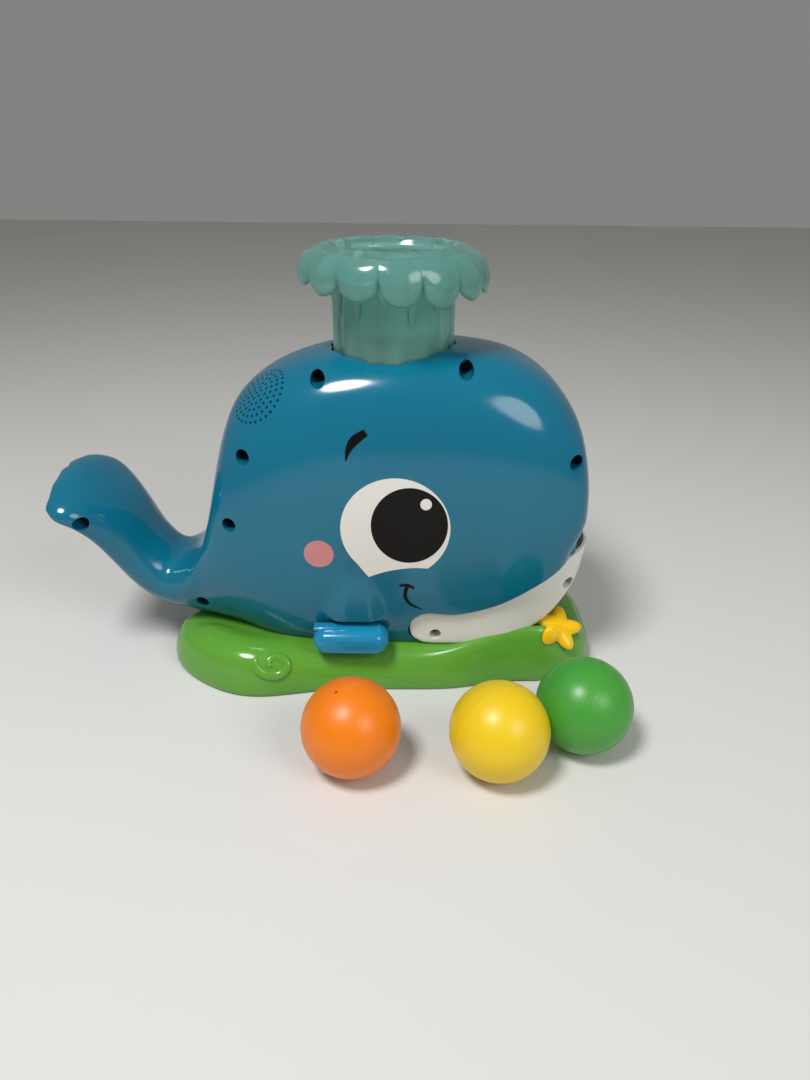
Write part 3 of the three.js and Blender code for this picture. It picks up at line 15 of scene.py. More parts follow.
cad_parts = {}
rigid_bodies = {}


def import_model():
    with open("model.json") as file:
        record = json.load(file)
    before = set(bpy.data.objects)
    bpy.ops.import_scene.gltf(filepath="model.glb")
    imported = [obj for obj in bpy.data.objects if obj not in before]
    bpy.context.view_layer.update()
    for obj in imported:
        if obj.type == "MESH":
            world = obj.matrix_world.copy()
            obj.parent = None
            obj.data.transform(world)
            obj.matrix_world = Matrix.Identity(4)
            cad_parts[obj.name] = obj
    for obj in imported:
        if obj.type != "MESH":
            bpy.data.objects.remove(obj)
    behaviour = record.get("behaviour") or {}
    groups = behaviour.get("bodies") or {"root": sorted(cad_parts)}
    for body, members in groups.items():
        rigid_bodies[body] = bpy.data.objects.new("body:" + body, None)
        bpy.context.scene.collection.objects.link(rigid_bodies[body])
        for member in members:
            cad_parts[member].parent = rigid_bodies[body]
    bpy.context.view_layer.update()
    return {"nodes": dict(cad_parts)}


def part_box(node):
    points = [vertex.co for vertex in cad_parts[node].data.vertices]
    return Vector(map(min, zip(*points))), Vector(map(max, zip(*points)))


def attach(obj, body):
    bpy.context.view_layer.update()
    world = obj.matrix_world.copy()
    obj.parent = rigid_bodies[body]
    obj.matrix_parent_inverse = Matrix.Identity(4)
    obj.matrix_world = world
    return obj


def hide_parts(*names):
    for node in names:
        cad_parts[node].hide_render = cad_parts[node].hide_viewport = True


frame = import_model()
scene = bpy.context.scene
MM = 0.001
print("pieces in the packed model:", len(frame["nodes"]))

# %% [markdown]
# ## Camera
# The photograph was taken by hand from in front of the toy's right flank, looking down by about 27 degrees.
# A pinhole camera was fitted to the round balls and the base, so the view only needs those numbers. The
# picture is taller than wide, so the sensor's 36 mm runs along the height.

# %% Camera
camera = bpy.data.objects.new("camera", bpy.data.cameras.new("camera"))
camera.data.lens = 26.0
camera.data.sensor_width = 36.0
camera.location = Vector((7.5, -425.0, 283.0)) * MM
PITCH_DOWN = math.radians(26.8)
ROLL = 0.0102
camera.rotation_euler = (Matrix.Rotation(math.pi / 2 - PITCH_DOWN, 4, "X")
                         @ Matrix.Rotation(ROLL, 4, "Z")).to_euler()
scene.collection.objects.link(camera)
scene.camera = camera
print("camera at", [round(c, 4) for c in camera.location])

# %% [markdown]
# ## Small helpers
# Moulded shapes are drawn in millimetres and scaled to metres once, when the mesh becomes an object. Closed
# forms are lofts: a circle is made by an operator, its points are laid on the first section, and the loop
# is extruded from section to section. A hidden number on each point says where it sits along the loop.


# %% Start and finish a mesh
def start():
    bm = bmesh.new()
    bm.verts.layers.int.new("order")
    return bm


def make_object(bm, name):
    bmesh.ops.recalc_face_normals(bm, faces=bm.faces)
    bmesh.ops.scale(bm, vec=(MM, MM, MM), verts=bm.verts)
    mesh = bpy.data.meshes.new(name)
    bm.to_mesh(mesh)
    bm.free()
    piece = bpy.data.objects.new(name, mesh)
    scene.collection.objects.link(piece)
    return piece


# %% Lofts
def edges_among(verts):
    """The edges between these points, in the same order each run."""
    chosen = set(verts)
    return list(dict.fromkeys(e for v in verts for e in v.link_edges if e.other_vert(v) in chosen))


def next_loop(bm, edges, ring):
    order = bm.verts.layers.int["order"]
    made = bmesh.ops.extrude_edge_only(bm, edges=edges)["geom"]
    verts = [g for g in made if isinstance(g, bmesh.types.BMVert)]
    for v in verts:
        v.co = ring[v[order]]
    return edges_among(verts)


def loft(bm, rings, cap=True):
    order = bm.verts.layers.int["order"]
    verts = bmesh.ops.create_circle(bm, segments=len(rings[0]), radius=1)["verts"]
    for k, v in enumerate(verts):
        v[order] = k
        v.co = rings[0][k]
    first = edges = edges_among(verts)
    for ring in rings[1:]:
        edges = next_loop(bm, edges, ring)
    if cap:
        bmesh.ops.contextual_create(bm, geom=first)
        bmesh.ops.contextual_create(bm, geom=edges)


def tube(bm, path, radii, sides, up, flat=1.0):
    rings = []
    for k, point in enumerate(path):
        ahead = (path[min(k + 1, len(path) - 1)] - path[max(k - 1, 0)]).normalized()
        across = ahead.cross(up).normalized()
        rise = across.cross(ahead).normalized()
        ring = []
        for j in range(sides):
            angle = 2 * math.pi * j / sides
            ring.append(point + radii[k] * (math.cos(angle) * across + flat * math.sin(angle) * rise))
        rings.append(ring)
    loft(bm, rings)


def relax(bm, passes):
    for _ in range(passes):
        bmesh.ops.smooth_vert(bm, verts=bm.verts, factor=0.5, use_axis_x=True, use_axis_y=True, use_axis_z=True)


# %% Curves through points
def curve_at(points, t):
    count = len(points) - 1
    place = min(max(t, 0.0), 1.0) * count
    i = min(int(place), count - 1)
    w = place - i
    p1, p2 = points[i], points[i + 1]
    p0 = points[i - 1] if i > 0 else 2 * p1 - p2
    p3 = points[i + 2] if i + 2 <= count else 2 * p2 - p1
    m1, m2 = (p2 - p0) / 2, (p3 - p1) / 2
    return (p1 * (2 * w**3 - 3 * w**2 + 1) + m1 * (w**3 - 2 * w**2 + w)
            + p2 * (3 * w**2 - 2 * w**3) + m2 * (w**3 - w**2))


def curve_points(points, steps):
    return [curve_at(points, k / steps) for k in range(steps + 1)]


def signed_power(value, exponent):
    return math.copysign(abs(value) ** exponent, value)


def superellipse(angle, square):
    return signed_power(math.cos(angle), 2 / square), signed_power(math.sin(angle), 2 / square)


def smoothstep(low, high, value):
    w = min(max((value - low) / (high - low), 0.0), 1.0)
    return w * w * (3 - 2 * w)


# %% Rods, blocks and flat outlines
def rod(bm, radius, start_at, end_at, sides=48):
    axis = end_at - start_at
    turn = axis.to_track_quat("Z", "Y").to_matrix().to_4x4()
    place = Matrix.Translation((start_at + end_at) / 2) @ turn
    bmesh.ops.create_cone(bm, cap_ends=True, segments=sides, radius1=radius, radius2=radius, depth=axis.length,
                          matrix=place)


def block(bm, low, high):
    low, high = Vector(low), Vector(high)
    size = Matrix.Diagonal((high - low).to_4d())
    size[3][3] = 1
    return bmesh.ops.create_cube(bm, size=1, matrix=Matrix.Translation((low + high) / 2) @ size)["verts"]


def soften(bm, verts, width):
    bmesh.ops.bevel(bm, geom=edges_among(verts), offset=width, affect="EDGES", segments=3, profile=0.5, material=-1)


def prism(bm, outline, low, high):
    """A flat outline of X and Z, carried from one Y to another."""
    loft(bm, [[Vector((x, y, z)) for x, z in outline] for y in (low, high)])


def turned(bm, section, steps, close=False):
    """A section of radius and height, spun once round the Z axis."""
    verts = [bm.verts.new((r, 0, z)) for r, z in section]
    pairs = list(zip(verts, verts[1:])) + ([(verts[-1], verts[0])] if close else [])
    edges = [bm.edges.new(pair) for pair in pairs]
    bmesh.ops.spin(bm, geom=verts + edges, cent=(0, 0, 0), axis=(0, 0, 1), angle=2 * math.pi, steps=steps,
                   use_merge=True)
    bmesh.ops.remove_doubles(bm, verts=bm.verts, dist=0.001)


# %% Cut, join and keep
def apply_modifiers(piece):
    shown = piece.evaluated_get(bpy.context.evaluated_depsgraph_get())
    old = piece.data
    piece.data = bpy.data.meshes.new_from_object(shown)
    piece.modifiers.clear()
    bpy.data.meshes.remove(old)
    return piece


def combine(piece, tool, operation, overlapping=False):
    change = piece.modifiers.new("combine", "BOOLEAN")
    change.operation = operation
    change.solver = "EXACT"
    change.use_self = overlapping
    change.object = tool
    return apply_modifiers(piece)


def drop(*tools):
    for tool in tools:
        mesh = tool.data
        bpy.data.objects.remove(tool)
        bpy.data.meshes.remove(mesh)


def copy_of(piece, name):
    twin = bpy.data.objects.new(name, piece.data.copy())
    scene.collection.objects.link(twin)
    return twin


def mirrored(piece, name):
    twin = copy_of(piece, name)
    bm = bmesh.new()
    bm.from_mesh(twin.data)
    bmesh.ops.scale(bm, vec=(1, -1, 1), verts=bm.verts)
    bmesh.ops.reverse_faces(bm, faces=bm.faces)
    bm.to_mesh(twin.data)
    bm.free()
    return twin


def keep(piece, body, finish, nodes=(), angle=32):
    piece.data.shade_smooth()
    piece.data.set_sharp_from_angle(angle=math.radians(angle))
    piece.data.materials.clear()
    piece.data.materials.append(finish)
    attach(piece, body)
    if nodes:
        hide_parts(*nodes)
    print(piece.name, len(piece.data.polygons), "faces")


# %% [markdown]
# ## Finishes
# Nearly everything is injection-moulded ABS: saturated pigment in a clear-looking skin with a very faint
# ripple from the mould. One function adds a node with its settings and links. Each finish varies its
# roughness with a soft cloud a few centimetres wide, as handled plastic does, and carries a fine bump.


# %% Colours and nodes
def linear(text):
    def channel(pair):
        value = int(pair, 16) / 255
        return value / 12.92 if value <= 0.04045 else ((value + 0.055) / 1.055) ** 2.4
    return (channel(text[0:2]), channel(text[2:4]), channel(text[4:6]), 1.0)


def add_node(tree, kind, inputs=None, **settings):
    node = tree.nodes.new(kind)
    for name, value in settings.items():
        setattr(node, name, value)
    for socket, value in (inputs or {}).items():
        if isinstance(value, bpy.types.NodeSocket):
            tree.links.new(value, node.inputs[socket])
        else:
            node.inputs[socket].default_value = value
    return node


# %% Moulded plastic
def moulded(name, colour, shade_colour, roughness, cloud_mm=45, grain_mm=1.6, grain=0.06, **sockets):
    """Pigmented plastic: a soft change of tone, a handled sheen and the mould's fine ripple."""
    material = bpy.data.materials.new(name)
    material.use_nodes = True
    tree = material.node_tree
    shader = tree.nodes["Principled BSDF"]
    place = add_node(tree, "ShaderNodeTexCoord").outputs["Object"]
    cloud = add_node(tree, "ShaderNodeTexNoise", {"Vector": place, "Scale": 1 / (cloud_mm * MM), "Detail": 3.0})
    tone = add_node(tree, "ShaderNodeMix", {"Factor": cloud.outputs["Fac"]}, data_type="RGBA")
    tone.inputs[6].default_value = linear(colour)
    tone.inputs[7].default_value = linear(shade_colour)
    wear = add_node(tree, "ShaderNodeMapRange", {
        "Value": cloud.outputs["Fac"], "From Min": 0.3, "From Max": 0.7,
        "To Min": roughness * 0.85, "To Max": roughness * 1.2})
    ripple = add_node(tree, "ShaderNodeTexNoise", {"Vector": place, "Scale": 1 / (grain_mm * MM), "Detail": 2.0})
    bump = add_node(tree, "ShaderNodeBump", {
        "Height": ripple.outputs["Fac"], "Strength": grain, "Distance": 0.1 * MM})
    tree.links.new(tone.outputs[2], shader.inputs["Base Color"])
    tree.links.new(wear.outputs["Result"], shader.inputs["Roughness"])
    tree.links.new(bump.outputs["Normal"], shader.inputs["Normal"])
    for socket, value in sockets.items():
        shader.inputs[socket.replace("_", " ")].default_value = value
    return material


# %% The toy's finishes
body_abs = moulded("abs_ocean_blue_glossy", "0A6F8B", "08647F", 0.13, IOR=1.5)
flipper_abs = moulded("abs_light_blue_glossy", "1A8BB5", "177FA6", 0.14, IOR=1.5)
base_abs = moulded("abs_leaf_green_glossy", "62A337", "58972F", 0.17, IOR=1.5)
jaw_abs = moulded("abs_warm_white", "EAE8E3", "E2E0DA", 0.28, IOR=1.52)
star_abs = moulded("abs_sun_yellow", "FACB0A", "F5C206", 0.2, IOR=1.5)
knob_abs = moulded("abs_signal_red", "BE1630", "AC1029", 0.22, IOR=1.52)
inner_abs = moulded("abs_charcoal_textured", "565A5D", "4C5053", 0.5, grain_mm=0.9, grain=0.25, IOR=1.52)
orange_pe = moulded("polyethylene_orange_satin", "F28205", "E97600", 0.36, cloud_mm=30, grain_mm=2.2, grain=0.12)
yellow_pe = moulded("polyethylene_yellow_satin", "EECB1C", "E6BF12", 0.36, cloud_mm=30, grain_mm=2.2, grain=0.12)
green_pe = moulded("polyethylene_green_satin", "48A03A", "3E9231", 0.36, cloud_mm=30, grain_mm=2.2, grain=0.12)
print("moulded finishes ready")

# %% [markdown]
# The spout is a milky, tinted polypropylene: light enters, scatters a little and comes out again, so its
# shader lets about three quarters of the light through and keeps the surface smooth. The face is pad
# printed: thin, even ink with a satin sheen that is a little less glossy than the plastic around it.

# %% Spout, inks and metal
spout_pp = moulded("polypropylene_sea_green_translucent", "9AD8CE", "8CCDC2", 0.14, cloud_mm=25, IOR=1.49,
                   Transmission_Weight=0.75)
white_ink = moulded("printed_ink_white", "E4E2DC", "DCDAD3", 0.3, grain=0.03)
black_ink = moulded("printed_ink_black", "080707", "0C0A09", 0.28, grain=0.03, Specular_IOR_Level=0.2)
blush_ink = moulded("printed_ink_blush", "CC8586", "C67C7E", 0.3, grain=0.03)
steel = moulded("zinc_plated_steel", "A6A8AB", "8F9194", 0.35, cloud_mm=6, grain_mm=0.4, grain=0.2, Metallic=1.0)
cell_film = moulded("battery_film_wrap", "32363C", "2A2D32", 0.35)
board_lacquer = moulded("circuit_board_lacquer", "1F6B3A", "185A30", 0.4, cloud_mm=8)
print("spout, inks and metal ready")

# %% [markdown]
# ## The body's form
# The whale's body is one long loft from the nose to the edge of the tail fluke, moulded as two halves. Each
# station below gives the top and belly points as shares of the length and height, the share of the half
# width, and how square the section is. The sections fan round the saddle between back and tail.

# %% Body stations
NOSE_X, BODY_LENGTH = 110.0, 306.0
KEEL_Z, BODY_HEIGHT = 7.0, 183.0
HALF_WIDTH, BODY_WALL, HALF_GAP = 54.0, 2.4, 0.15
DECK_Z = 24.0
ON_DECK_Z = DECK_Z + 0.3
STATIONS = [
    (0.0, 0.59, 0.0, 0.5, 0.33, 2.2),
    (0.01, 0.695, 0.005, 0.38, 0.66, 2.4),
    (0.03, 0.797, 0.026, 0.236, 0.82, 2.7),
    (0.082, 0.903, 0.069, 0.115, 0.92, 3.0),
    (0.16, 0.974, 0.15, 0.038, 0.98, 3.2),
    (0.278, 1.0, 0.268, 0.005, 1.0, 3.4),
    (0.386, 0.998, 0.386, 0.0, 1.0, 3.4),
    (0.484, 0.975, 0.497, 0.0, 0.98, 3.3),
    (0.572, 0.924, 0.582, 0.014, 0.945, 2.8),
    (0.636, 0.84, 0.644, 0.044, 0.86, 2.3),
    (0.668, 0.73, 0.699, 0.063, 0.755, 2.1),
    (0.683, 0.598, 0.742, 0.082, 0.655, 2.1),
    (0.692, 0.478, 0.781, 0.104, 0.605, 2.2),
    (0.719, 0.37, 0.814, 0.126, 0.535, 2.4),
    (0.775, 0.305, 0.846, 0.162, 0.49, 2.3),
    (0.817, 0.363, 0.873, 0.209, 0.5, 2.3),
    (0.85, 0.456, 0.895, 0.275, 0.56, 2.3),
    (0.882, 0.519, 0.918, 0.357, 0.66, 2.3),
    (0.92, 0.553, 0.939, 0.426, 0.77, 2.3),
    (0.952, 0.557, 0.962, 0.464, 0.785, 2.3),
    (0.972, 0.543, 0.976, 0.494, 0.68, 2.3),
]


def body_point(along, up):
    return Vector((NOSE_X - along * BODY_LENGTH, 0, KEEL_Z + up * BODY_HEIGHT))


TOP_LINE = [body_point(s[0], s[1]) for s in STATIONS]
BELLY_LINE = [body_point(s[2], s[3]) for s in STATIONS]
GIRTH = [Vector((s[4] * HALF_WIDTH, s[5], 0)) for s in STATIONS]


# %% Body loft
def body_section(t, wall, points):
    top, belly, girth = curve_at(TOP_LINE, t), curve_at(BELLY_LINE, t), curve_at(GIRTH, t)
    middle, up = (top + belly) / 2, (top - belly).normalized()
    half_height = (top - belly).length / 2 - wall
    ring = []
    for k in range(points):
        rise, side = superellipse(2 * math.pi * k / points, girth.y)
        point = middle + up * (half_height * rise)
        point.y = (girth.x - wall) * side
        ring.append(point)
    return ring


FLUKE_ARCH, FLUKE_SWEEP, FLUKE_NOTCH, HEAD_TUCK = 8.0, 2.5, 1.3, 5.0


def reshape(p):
    """Arch the fluke and notch its edge; tuck the head in above the jaw."""
    end = smoothstep(158, 186, -p.x)
    arch = max(0.0, 1 - (p.y / 42) ** 2)
    tuck = smoothstep(80, 108, p.x) * (1 - smoothstep(76, 102, p.z))
    notch = smoothstep(176, 187, -p.x) * abs(math.sin(math.pi * p.y / 15))
    p.z += FLUKE_ARCH * end * arch
    p.x -= FLUKE_SWEEP * end * arch + FLUKE_NOTCH * notch + HEAD_TUCK * tuck


def body_form(wall, span=(0.0, 1.0), sections=210, points=168, passes=14):
    bm = start()
    low, high = span
    loft(bm, [body_section(low + (high - low) * k / sections, wall, points) for k in range(sections + 1)])
    relax(bm, passes)
    for v in bm.verts:
        reshape(v.co)
    return bm


body_bm = body_form(0.0)
print("body loft:", len(body_bm.verts), "points")

# %% [markdown]
# A sleeve swells out of each flank above the flipper: narrow at the top, as wide as the flipper at its foot,
# and ending in a small ledge over the flipper's pad. Moving the loft's own points outwards keeps the swell
# smooth, where a joined block would leave a hard seam.

# %% Sleeve above the flipper
SLEEVE_X, SLEEVE_TOP_Z, SLEEVE_FOOT_Z, SLEEVE_SWELL = -20.0, 78.0, 43.5, 5.6


def swell_at(point):
    rise = (SLEEVE_TOP_Z - point.z) / (SLEEVE_TOP_Z - SLEEVE_FOOT_Z)
    if rise <= 0:
        return 0.0
    half = 8 + 12 * min(rise, 1.0)
    side = 1 - smoothstep(0.45, 1.0, abs(point.x - SLEEVE_X) / half)
    foot = smoothstep(SLEEVE_FOOT_Z - 1.2, SLEEVE_FOOT_Z + 0.6, point.z)
    return SLEEVE_SWELL * smoothstep(0, 1, rise) * side * foot


def add_sleeves(bm):
    for v in bm.verts:
        if abs(v.co.y) > 0.5 * HALF_WIDTH:
            v.co.y += math.copysign(swell_at(v.co), v.co.y)


add_sleeves(body_bm)
body = make_object(body_bm, "body")
print("body with sleeves:", len(body.data.polygons), "faces")

# %% [markdown]
# The upper lip is a rounded bead over the arch of the mouth. The inside of the body is a second loft whose
# points are all moved in by one wall thickness, square to the skin, and taken out of the first.

# %% Lip and hollow
BALL_R = 25.0
MOUTH_HALF, MOUTH_TOP_Z, LIP_R, JAW_RIM_Z = 29.5, 127.0, 3.6, 78.0
JAW_RIM_H = JAW_RIM_Z - DECK_Z


def lip_path():
    half, spring_z = MOUTH_HALF + 0.5 * LIP_R, MOUTH_TOP_Z - MOUTH_HALF
    arch = [(-half, JAW_RIM_Z - 10)]
    for k in range(25):
        angle = math.pi * (1 - k / 24)
        arch.append((half * math.cos(angle), spring_z + half * math.sin(angle)))
    arch.append((half, JAW_RIM_Z - 10))
    return [Vector((NOSE_X - 4.5 * (1 + (y / half) ** 2), y, z)) for y, z in arch]


lip_bm = start()
path = lip_path()
tube(lip_bm, path, [LIP_R] * len(path), sides=20, up=Vector((1, 0, 0)))
lip = make_object(lip_bm, "lip")
combine(body, lip, "UNION")
hollow_bm = body_form(0.0, (0.06, 0.84), 110, 96, 5)
hollow_bm.normal_update()
for v, inwards in [(v, -v.normal) for v in hollow_bm.verts]:
    v.co += BODY_WALL * inwards
hollow = make_object(hollow_bm, "hollow")
combine(body, hollow, "DIFFERENCE")
drop(lip, hollow)
print("hollow body:", len(body.data.polygons), "faces")

# %% [markdown]
# The openings come next. The jaw's upper edge is a long smile line that rises to the lip, the mouth is an
# arch, the spout stands in a round hole whose edge follows its flutes, and each flipper passes a window.

# %% Openings in the body
JAW_REAR_X, JAW_TIP_X, JAW_REAR_H, REVEAL = 10.0, 116.0, 24.0, 0.6
FLUTES, FLUTE_DEPTH, PETAL_PHASE, SPOUT_HOLE_R = 14, 0.7, -0.13, 33.6
JAW_EDGE = [(0.28, 0.425), (0.49, 0.55), (0.7, 0.79), (0.86, 0.98)]


def jaw_upper_edge(grow):
    length = JAW_TIP_X - JAW_REAR_X
    points = [Vector((JAW_REAR_X + JAW_REAR_H / 2, 0, DECK_Z + JAW_REAR_H - 0.3 + grow))]
    points += [Vector((JAW_REAR_X + a * length, 0, DECK_Z + b * JAW_RIM_H + grow)) for a, b in JAW_EDGE]
    points.append(Vector((JAW_TIP_X - 2, 0, JAW_RIM_Z + grow)))
    return [(p.x, p.z) for p in curve_points(points, 40)]


def jaw_round_end(grow):
    radius = JAW_REAR_H / 2 - 0.3 + grow
    middle = (JAW_REAR_X + JAW_REAR_H / 2, DECK_Z + JAW_REAR_H / 2)
    angles = [-math.pi / 2 - math.pi * k / 24 for k in range(24)]
    return [(middle[0] + radius * math.cos(a), middle[1] + radius * math.sin(a)) for a in angles]


def body_openings():
    bm = start()
    below = [(JAW_TIP_X + 80, JAW_RIM_Z + REVEAL), (JAW_TIP_X + 80, -20), (JAW_REAR_X + JAW_REAR_H / 2, -20)]
    prism(bm, jaw_round_end(REVEAL) + jaw_upper_edge(REVEAL) + below, -150, 150)
    jaw_cut = make_object(bm, "jaw_cut")
    bm = start()
    spring_z = MOUTH_TOP_Z - MOUTH_HALF
    arch = [(-MOUTH_HALF, 30.0), (MOUTH_HALF, 30.0)]
    arch += [(MOUTH_HALF * math.cos(math.pi * k / 32), spring_z + MOUTH_HALF * math.sin(math.pi * k / 32))
             for k in range(33)]
    loft(bm, [[Vector((x, y, z)) for y, z in arch] for x in (76, 200)])
    mouth_cut = make_object(bm, "mouth_cut")
    bm = start()
    hole = []
    for k in range(168):
        angle = 2 * math.pi * k / 168
        radius = SPOUT_HOLE_R + FLUTE_DEPTH * math.cos(FLUTES * (angle - PETAL_PHASE))
        hole.append((radius * math.cos(angle), radius * math.sin(angle)))
    loft(bm, [[Vector((x, y, z)) for x, y in hole] for z in (168, 220)])
    block(bm, (-300, -100, -20), (200, 100, ON_DECK_Z))
    spout_cut = make_object(bm, "spout_and_deck_cut")
    bm = start()
    for side in (-1, 1):
        block(bm, (-38.5, min(side * 30, side * 90), 5), (-6.5, max(side * 30, side * 90), 38.5))
    return [jaw_cut, mouth_cut, spout_cut, make_object(bm, "flipper_windows")]


cuts = body_openings()
for cut in cuts:
    combine(body, cut, "DIFFERENCE")
    print("body after", cut.name, len(body.data.polygons), "faces")
drop(*cuts)

# %% [markdown]
# Seven screws hold the body's two halves together. Each sits at the bottom of a well in the right flank, whose
# tube is a boss cut off just inside the outer wall. The last one is in the fluke, which is solid.

# %% Screw wells
SPOUT_BOSS_X = 37.7
WELLS = [(-SPOUT_BOSS_X, 177.0), (SPOUT_BOSS_X, 182.0), (97.0, 135.5), (-78.0, 137.0), (-88.0, 99.0),
         (-112.0, 41.0), (-171.0, 95.5)]
WELL_R, BOSS_R, SEAT_Y = 3.9, 5.6, -12.0


def rods_along_y(name, places, radius, low, high):
    bm = start()
    for x, z in places:
        rod(bm, radius, Vector((x, low, z)), Vector((x, high, z)))
    return make_object(bm, name)


boss_limit = make_object(body_form(BODY_WALL / 2, (0.02, 0.98), 90, 80, 2), "boss_limit")
bosses = combine(rods_along_y("bosses", WELLS[:-1], BOSS_R, -90, SEAT_Y + 2.4), boss_limit, "INTERSECT")
wells = rods_along_y("wells", WELLS, WELL_R, -90, SEAT_Y)
combine(combine(body, bosses, "UNION"), wells, "DIFFERENCE")
drop(bosses, wells, boss_limit)
print("body with wells:", len(body.data.polygons), "faces")

# %% [markdown]
# The loudspeaker sits behind a round patch of small holes high on the right shoulder. The holes are drilled
# along the patch's own direction in rings, each ring with six more holes than the last. The red knob slides in
# a short upright slot behind.

# %% Speaker holes and the knob's slot
GRILLE_AT = Vector((-70.0, -25.0, 165.5))
GRILLE_OUT = Vector((-0.608, -0.332, 0.722)).normalized()
GRILLE_PITCH, GRILLE_HOLE_R, GRILLE_TURN = 3.3, 0.85, 0.12
KNOB_AT = Vector((-99.32, 8.0, 114.14))
KNOB_UP = Vector((0.11966, 0, 0.99282))
KNOB_OUT = Vector((-0.99282, 0, 0.11966))


def grille_holes():
    bm = start()
    across = GRILLE_OUT.orthogonal().normalized()
    for ring in range(6):
        for k in range(max(1, 6 * ring)):
            turn = Matrix.Rotation(GRILLE_TURN + 2 * math.pi * k / max(1, 6 * ring), 4, GRILLE_OUT)
            spot = GRILLE_AT + turn @ (across * ring * GRILLE_PITCH)
            rod(bm, GRILLE_HOLE_R, spot - 9 * GRILLE_OUT, spot + 9 * GRILLE_OUT, 10)
    return make_object(bm, "grille_holes")


def knob_slot():
    bm = start()
    block(bm, (-6, -1.5, -2), (5.5, 1.5, 8))
    turn = Matrix((KNOB_OUT, KNOB_UP.cross(KNOB_OUT), KNOB_UP)).transposed().to_4x4()
    bmesh.ops.transform(bm, matrix=Matrix.Translation(KNOB_AT) @ turn, verts=bm.verts)
    return make_object(bm, "knob_slot")


grille, slot_cut = grille_holes(), knob_slot()
combine(combine(body, grille, "DIFFERENCE"), slot_cut, "DIFFERENCE")
drop(grille, slot_cut)
print("body with holes:", len(body.data.polygons), "faces")

# %% [markdown]
# The body is one skin so far. A cut along the middle gives the two halves: the bisect operator throws one side
# away and a fill closes the wall where it was cut. Both halves stop a hair short of the middle, which leaves
# the fine line that every two-part moulding shows.


# %% Two halves
def half_of(piece, name, side):
    half = copy_of(piece, name)
    bm = bmesh.new()
    bm.from_mesh(half.data)
    everything = list(bm.verts) + list(bm.edges) + list(bm.faces)
    cut = bmesh.ops.bisect_plane(bm, geom=everything, dist=1e-7, plane_co=(0, side * HALF_GAP * MM, 0),
                                 plane_no=(0, -side, 0), clear_outer=True)
    edge_line = [g for g in cut["geom_cut"] if isinstance(g, bmesh.types.BMEdge)]
    bmesh.ops.triangle_fill(bm, use_beauty=True, use_dissolve=False, edges=edge_line)
    rest = bmesh.ops.holes_fill(bm, edges=[e for e in bm.edges if e.is_boundary], sides=0)
    bmesh.ops.triangulate(bm, faces=rest["faces"])
    bmesh.ops.recalc_face_normals(bm, faces=bm.faces)
    print(name, "open edges:", sum(e.is_boundary for e in bm.edges))
    bm.to_mesh(half.data)
    bm.free()
    return half


keep(half_of(body, "right_body_shell", -1), "toy", body_abs, ["right_shell"])
keep(half_of(body, "left_body_shell", 1), "toy", body_abs, ["left_shell"])
drop(body)

# %% [markdown]
# ## The face
# Eye, brow, cheek and smile are printed on the flank. Each print is the flat outline pushed through the body
# and kept only between two skins, one just under the flank and one a tenth or two of a millimetre proud of it,
# so it hugs the curve from every side.


# %% Print outlines
def ellipse(x, z, half_x, half_z, count=96):
    turns = [2 * math.pi * k / count for k in range(count)]
    return [(x + half_x * math.cos(a), z + half_z * math.sin(a)) for a in turns]


def eye_white():
    x, z, radius = 2.3, 101.5, 29.2
    turns = [math.radians(-52.6 + 277.6 * k / 80) for k in range(81)]
    arc = [(x + radius * math.cos(a), z + radius * math.sin(a)) for a in turns]
    lower = curve_points([Vector((-12.2, 0, 72.6)), Vector((-3.0, 0, 76.0)), Vector((6.5, 0, 78.0)),
                          Vector((14.0, 0, 78.6)), Vector((20.0, 0, 78.3))], 20)
    return arc + [(p.x, p.z) for p in lower[:-1]]


def stroke(points, widths, steps=24):
    middle = curve_points([Vector((x, 0, z)) for x, z in points], steps)
    width = curve_points([Vector((w, 0, 0)) for w in widths], steps)
    left, right = [], []
    for k, p in enumerate(middle):
        ahead = (middle[min(k + 1, steps)] - middle[max(k - 1, 0)]).normalized()
        off = Vector((-ahead.z, 0, ahead.x)) * (width[k].x / 2)
        left.append(((p + off).x, (p + off).z))
        right.append(((p - off).x, (p - off).z))
    return left + right[::-1]


brow = stroke([(-23.2, 139.5), (-21.8, 145.0), (-18.6, 150.0), (-12.8, 154.2)], [0.6, 3.0, 4.8, 3.6])
smile_bar = stroke([(4.6, 67.2), (8.8, 67.6), (12.9, 65.6)], [1.0, 1.8, 1.4])
smile = stroke([(9.0, 67.4), (7.9, 60.5), (10.8, 55.0), (17.4, 51.2)], [2.2, 2.1, 1.7, 0.7])
print("print outlines:", len(brow), len(smile_bar), len(smile), "points")

# %% Prints on both flanks
INK_LAYER, INK_DEPTH = 0.08, 0.4


def skin_at(depth):
    bm = body_form(depth)
    add_sleeves(bm)
    return make_object(bm, "skin")


under = skin_at(INK_DEPTH)
skins = {layer: skin_at(-INK_LAYER * layer) for layer in (1, 2, 3)}


def printed(name, outline, layer, finish):
    bm = start()
    prism(bm, outline, -75, -20)
    ink = make_object(bm, name)
    combine(ink, skins[layer], "INTERSECT")
    combine(ink, under, "DIFFERENCE")
    twin = mirrored(ink, name.replace("right", "left"))
    for piece in (ink, twin):
        keep(piece, "toy", finish)


printed("right_eye_white", eye_white(), 1, white_ink)
printed("right_pupil", ellipse(9.75, 103.7, 20.4, 21.8), 2, black_ink)
printed("right_eye_light", ellipse(18.3, 116.4, 3.0, 3.2, 48), 3, white_ink)
printed("right_cheek", ellipse(-39.0, 86.0, 8.1, 8.1, 64), 1, blush_ink)
printed("right_brow", brow, 1, black_ink)
printed("right_smile", smile, 1, black_ink)
printed("right_smile_corner", smile_bar, 2, black_ink)
drop(under, *skins.values())

